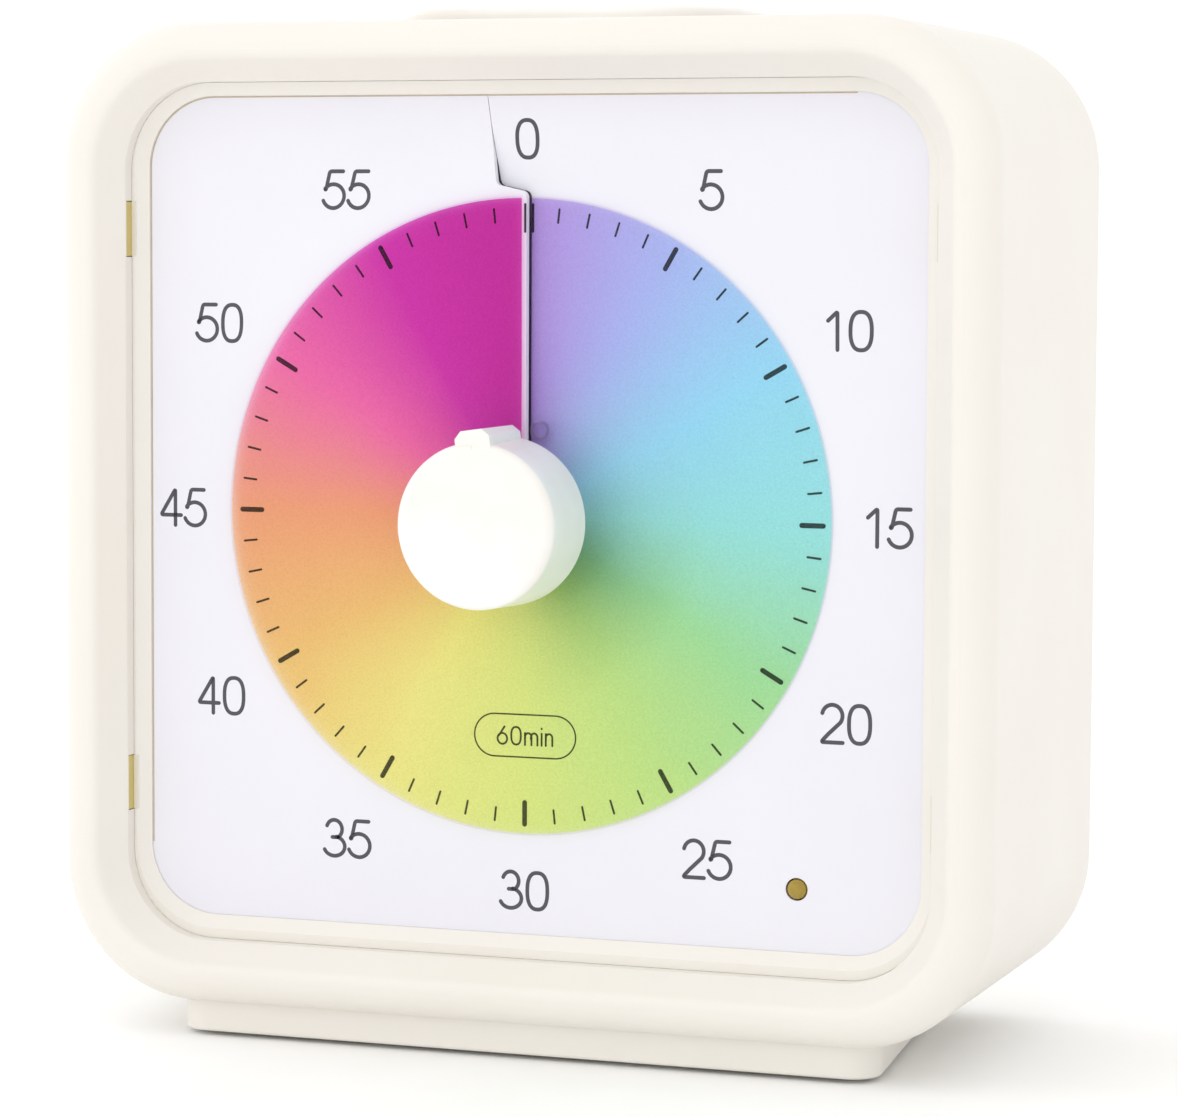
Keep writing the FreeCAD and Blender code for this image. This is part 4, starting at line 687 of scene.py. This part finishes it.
class TIMER_OT_dial(bpy.types.Operator):
    """Finish the dial sheet and print its ticks, figures and badge"""

    bl_idname = "timer.dial"
    bl_label = "Dial and print"

    def execute(self, context):
        coat("dial_plate", rolled_polystyrene(context.scene.timer_case))
        sizes = context.scene.timer_print
        face = DialFace()
        object_from("dial_ticks", lambda work: self.ticks(work, face, sizes),
                    printing_ink("tick_ink", sizes.tick_ink, sizes.tick_shade), "case")
        object_from("dial_figures", lambda work: self.numbers(work, face, sizes),
                    printing_ink("figure_ink", sizes.ink, sizes.shade), "case")
        object_from("dial_badge", lambda work: self.badge(work, face, sizes),
                    printing_ink("badge_ink", sizes.tick_ink, sizes.tick_shade), "case")
        # The edge line is painted shadow along the left side and top, given the ink's finish.
        object_from("dial_edge_shadow_line", lambda work: self.border(work, face, sizes),
                    printing_ink("border_ink", sizes.border_ink, sizes.border_shade), "case")
        return {"FINISHED"}

    def border(self, work, face, sizes):
        """A painted shadow line along the sheet's left side and top, just inside the ring, where the ring's edge
        shades the sheet.
        """
        across, up, corner = sizes.border_width / 2, sizes.border_height / 2, sizes.border_corner
        points = [(-across, corner - up)] + arc(corner - across, up - corner, corner, corner, 180, 90)
        path = [Vector(spot) for spot in points + [(across - corner, up)]]
        print_stroke(work, face, path, sizes.border_line / 2, sizes.raised)

    def ticks(self, work, face, sizes):
        """Sixty marks; the one at nought is split by the slit into two halves."""
        for minute in range(1, 60):
            five = minute % 5 == 0
            radius = sizes.five_radius if five else sizes.minute_radius
            length = sizes.five_length if five else sizes.minute_length
            width = sizes.five_width if five else sizes.minute_width
            turn = math.radians(6 * minute)
            outward = Vector((math.sin(turn), math.cos(turn)))
            reach = (length - width) / 2
            path = [outward * (radius - reach), outward * radius, outward * (radius + reach)]
            print_stroke(work, face, path, width / 2, sizes.raised)
        lips = {side: side * sizes.five_width / 4 for side in (-1, 1)}
        slit = self.slit_edges(face, sizes.five_radius)
        reach = sizes.five_length / 2
        for side, offset in lips.items():
            x = slit[side] + offset
            path = [Vector((x, sizes.five_radius - reach)), Vector((x, sizes.five_radius)),
                    Vector((x, sizes.five_radius + reach))]
            print_stroke(work, face, path, sizes.five_width / 4, sizes.raised)

    def slit_edges(self, face, radius):
        """The X of each lip's edge at a height above the dial's middle, found by feeling for the step."""
        step, drop = 0.02 * MM, 0.4 * MM
        found = {}
        for side in (-1, 1):
            x = side * 2 * MM
            level = face.depth(x, radius)
            while face.depth(x - side * step, radius) and abs(face.depth(x - side * step, radius) - level) < drop:
                x -= side * step
            found[side] = x
        return found

    def numbers(self, work, face, sizes):
        """The twelve figures: those at the quarters stand nearer than the ones between."""
        glyphs = figures(sizes.figure_height)
        for minute in range(0, 60, 5):
            turn = math.radians(6 * minute)
            ring = sizes.figure_ring if minute % 15 == 0 else sizes.side_ring
            sink = sizes.upper_sink * max(math.cos(turn), 0.0) ** 2 if minute % 15 else 0.0
            middle = (ring * math.sin(turn), ring * math.cos(turn) - sink - sizes.figure_height / 2)
            set_line(work, face, str(minute), glyphs, middle, sizes.figure_gap, sizes.figure_stroke / 2,
                     sizes.raised)

    def badge(self, work, face, sizes):
        """The hour badge: a pill outline round the length of the scale."""
        half_height = sizes.badge_height / 2
        straight = sizes.badge_width / 2 - half_height
        outline = [(x + straight, z) for x, z in arc(0, 0, half_height, half_height, -90, 90)]
        outline += [(x - straight, z) for x, z in arc(0, 0, half_height, half_height, 90, 270)]
        path = [Vector((x, z - sizes.badge_drop)) for x, z in outline]
        print_stroke(work, face, path, 0.13 * MM, sizes.raised, closed=True)
        glyphs = figures(2.95 * MM)
        glyphs.update(small_letters(2.0 * MM))
        set_line(work, face, "60min", glyphs, (0.0, -sizes.badge_drop - 1.5 * MM), 0.75 * MM, 0.17 * MM,
                 sizes.raised)


class TIMER_OT_film(bpy.types.Operator):
    """Colour the film and add its clear relief tab beside the hub"""

    bl_idname = "timer.film"
    bl_label = "Film"

    def execute(self, context):
        finish = context.scene.timer_film
        coat("film_disc", dyed_polyester(finish))
        coat("film_hub", polished_abs(context.scene.timer_case))
        object_from("film_tab", self.tab, clear_polyester(), "film")
        return {"FINISHED"}

    def tab(self, work):
        """A small clear loop: the rounded end of the film's radial cut, which stops it tearing."""
        centre = Vector((DIAL_X + 2.3 * MM, FILM_BACK - 0.32 * MM, DIAL_Z + 14.6 * MM))
        outer, inner, thick = 1.7 * MM, 1.2 * MM, 0.12 * MM
        steps = 40
        rings = []
        for k in range(steps):
            t = 2 * math.pi * k / steps
            way = Vector((math.cos(t), 0, math.sin(t)))
            rings.append([work.verts.new(centre + way * r + Vector((0, y, 0)))
                          for r, y in ((outer, -thick), (inner, -thick), (inner, 0), (outer, 0))])
        for first, second in zip(rings, rings[1:] + rings[:1]):
            for k in range(4):
                work.faces.new((first[k], first[(k + 1) % 4], second[(k + 1) % 4], second[k]))


class TIMER_OT_indicator(bpy.types.Operator):
    """Finish the indicator beside the dial"""

    bl_idname = "timer.indicator"
    bl_label = "Indicator"

    def execute(self, context):
        coat("indicator_led", diffused_epoxy())
        return {"FINISHED"}


class TIMER_OT_works(bpy.types.Operator):
    """Finish the movement, the board, the battery bay and all fastenings"""

    bl_idname = "timer.works"
    bl_label = "Works and fastenings"

    places = {
        "glass_filled_abs": "carrier movement_plate movement_cup button_shelf",
        "natural_acetal": "centre_wheel third_wheel fourth_wheel trip_cam",
        "black_nylon": "control_chip buzzer tact_switch slide_switch trip_switch",
        "solder_mask": "circuit_board",
        "zinc_plated_steel": "plinth_screws cover_screws carrier_screws movement_screws board_screws",
        "spring_steel": "spindle clutch_spring button_spring_left button_spring_right button_contact_upper "
                        "spring_contact_upper button_contact_lower spring_contact_lower",
        "turned_brass": "spindle_bush",
        "silicon_steel": "stator",
        "enamelled_copper": "coil",
        "sintered_ferrite": "rotor",
        "shrink_sleeve": "cell_upper cell_lower",
    }

    def execute(self, context):
        materials = works_materials()
        for name, group in self.places.items():
            for node in group.split():
                coat(node, materials[name])
        return {"FINISHED"}


class TIMER_OT_studio(bpy.types.Operator):
    """Set up the pale floor, the soft light and the camera"""

    bl_idname = "timer.studio"
    bl_label = "Studio"

    def execute(self, context):
        setup = context.scene.timer_studio
        self.floor(setup)
        self.light(context, setup)
        self.camera(context, setup)
        return {"FINISHED"}

    def floor(self, setup):
        """A wide pale floor whose far part sweeps up into a backdrop."""
        paper = surface("backdrop_paper", setup.floor_colour, "#FAFAF9", 60.0, 1.2, 0.8, 0.05, 0.01,
                        **{"Specular IOR Level": 0.1})
        work = bmesh.new()
        half, far, rise, steps = 3.0, 3.0, 1.2, 16
        profile = [(-4.0, 0.0), (far - rise, 0.0)]
        profile += [(far - rise + rise * math.sin(math.pi / 2 * k / steps),
                     rise - rise * math.cos(math.pi / 2 * k / steps)) for k in range(1, steps + 1)]
        profile.append((far, 4.0))
        rows = [[work.verts.new((x, y, z)) for x in (-half, half)] for y, z in profile]
        for first, second in zip(rows, rows[1:]):
            work.faces.new((first[0], first[1], second[1], second[0]))
        mesh = bpy.data.meshes.new("floor")
        work.to_mesh(mesh)
        work.free()
        mesh.materials.append(paper)
        for polygon in mesh.polygons:
            polygon.use_smooth = True
        floor = bpy.data.objects.new("floor", mesh)
        bpy.context.scene.collection.objects.link(floor)

    def light(self, context, setup):
        """An even white surround with a broad key from the upper left and a fill from the right."""
        world = bpy.data.worlds.new("studio")
        world.use_nodes = True
        background = world.node_tree.nodes["Background"]
        background.inputs["Color"].default_value = (1.0, 1.0, 1.0, 1.0)
        tree = world.node_tree
        way = add(tree, "ShaderNodeTexCoord").outputs["Generated"]
        across = add(tree, "ShaderNodeSeparateXYZ", links={"Vector": way}).outputs["X"]
        level = add(tree, "ShaderNodeMapRange", {"From Min": -1.0, "To Min": setup.sky + setup.lean,
                                                 "To Max": setup.sky - setup.lean}, {"Value": across})
        tree.links.new(level.outputs["Result"], background.inputs["Strength"])
        context.scene.world = world
        low, high = CAD_BOX
        centre = (Vector(low) + Vector(high)) / 2
        for name, place, size, power in (("key", (-0.7, -0.9, 1.1), 0.9, setup.key),
                                         ("fill", (1.2, -0.5, 0.5), 0.9, setup.fill)):
            lamp = bpy.data.lights.new(name, "AREA")
            lamp.shape = "SQUARE"
            lamp.size = size
            lamp.energy = power
            lamp_object = bpy.data.objects.new(name, lamp)
            lamp_object.location = centre + Vector(place)
            lamp_object.rotation_euler = (centre - lamp_object.location).to_track_quat("-Z", "Y").to_euler()
            context.scene.collection.objects.link(lamp_object)
        context.scene.view_settings.view_transform = "Standard"

    def camera(self, context, setup):
        """A long lens a little to the right of the dial and just above it."""
        back = Vector((math.sin(setup.azimuth) * math.cos(setup.elevation),
                       -math.cos(setup.azimuth) * math.cos(setup.elevation), math.sin(setup.elevation)))
        right = Vector((math.cos(setup.azimuth), math.sin(setup.azimuth), 0))
        up = back.cross(right)
        leaned = Matrix.Rotation(setup.roll, 3, back)
        right, up = leaned @ right, leaned @ up
        dial = Vector((DIAL_X, DialFace().depth(60 * MM, 0.0), DIAL_Z))
        place = dial + back * setup.distance + right * setup.aim_right - up * setup.aim_down
        data = bpy.data.cameras.new("view")
        data.lens = setup.lens
        data.sensor_width = 36.0
        data.clip_start = 0.01
        camera = bpy.data.objects.new("view", data)
        camera.matrix_world = Matrix.Translation(place) @ Matrix((right, up, back)).transposed().to_4x4()
        context.scene.collection.objects.link(camera)
        context.scene.camera = camera


OPERATORS = (TIMER_OT_case, TIMER_OT_controls, TIMER_OT_dial, TIMER_OT_film, TIMER_OT_indicator,
             TIMER_OT_works, TIMER_OT_studio)


class TIMER_PT_panel(bpy.types.Panel):
    """Lists the timer's finishing steps and their settings"""

    bl_idname = "TIMER_PT_panel"
    bl_label = "Countdown timer"
    bl_space_type = "VIEW_3D"
    bl_region_type = "UI"
    bl_category = "Timer"

    def draw(self, context):
        for operator in OPERATORS:
            self.layout.operator(operator.bl_idname)
        for name, group in GROUPS.items():
            box = self.layout.box()
            box.label(text=group.__doc__)
            for setting in group.__annotations__:
                box.prop(getattr(context.scene, name), setting)


CLASSES = tuple(GROUPS.values()) + OPERATORS + (TIMER_PT_panel,)


def register():
    for kind in CLASSES:
        bpy.utils.register_class(kind)
    for name, group in GROUPS.items():
        setattr(bpy.types.Scene, name, bpy.props.PointerProperty(type=group))


def unregister():
    for name in GROUPS:
        delattr(bpy.types.Scene, name)
    for kind in reversed(CLASSES):
        bpy.utils.unregister_class(kind)


def main():
    register()
    for operator in OPERATORS:
        group, name = operator.bl_idname.split(".")
        getattr(getattr(bpy.ops, group), name)()


if __name__ == "__main__":
    main()
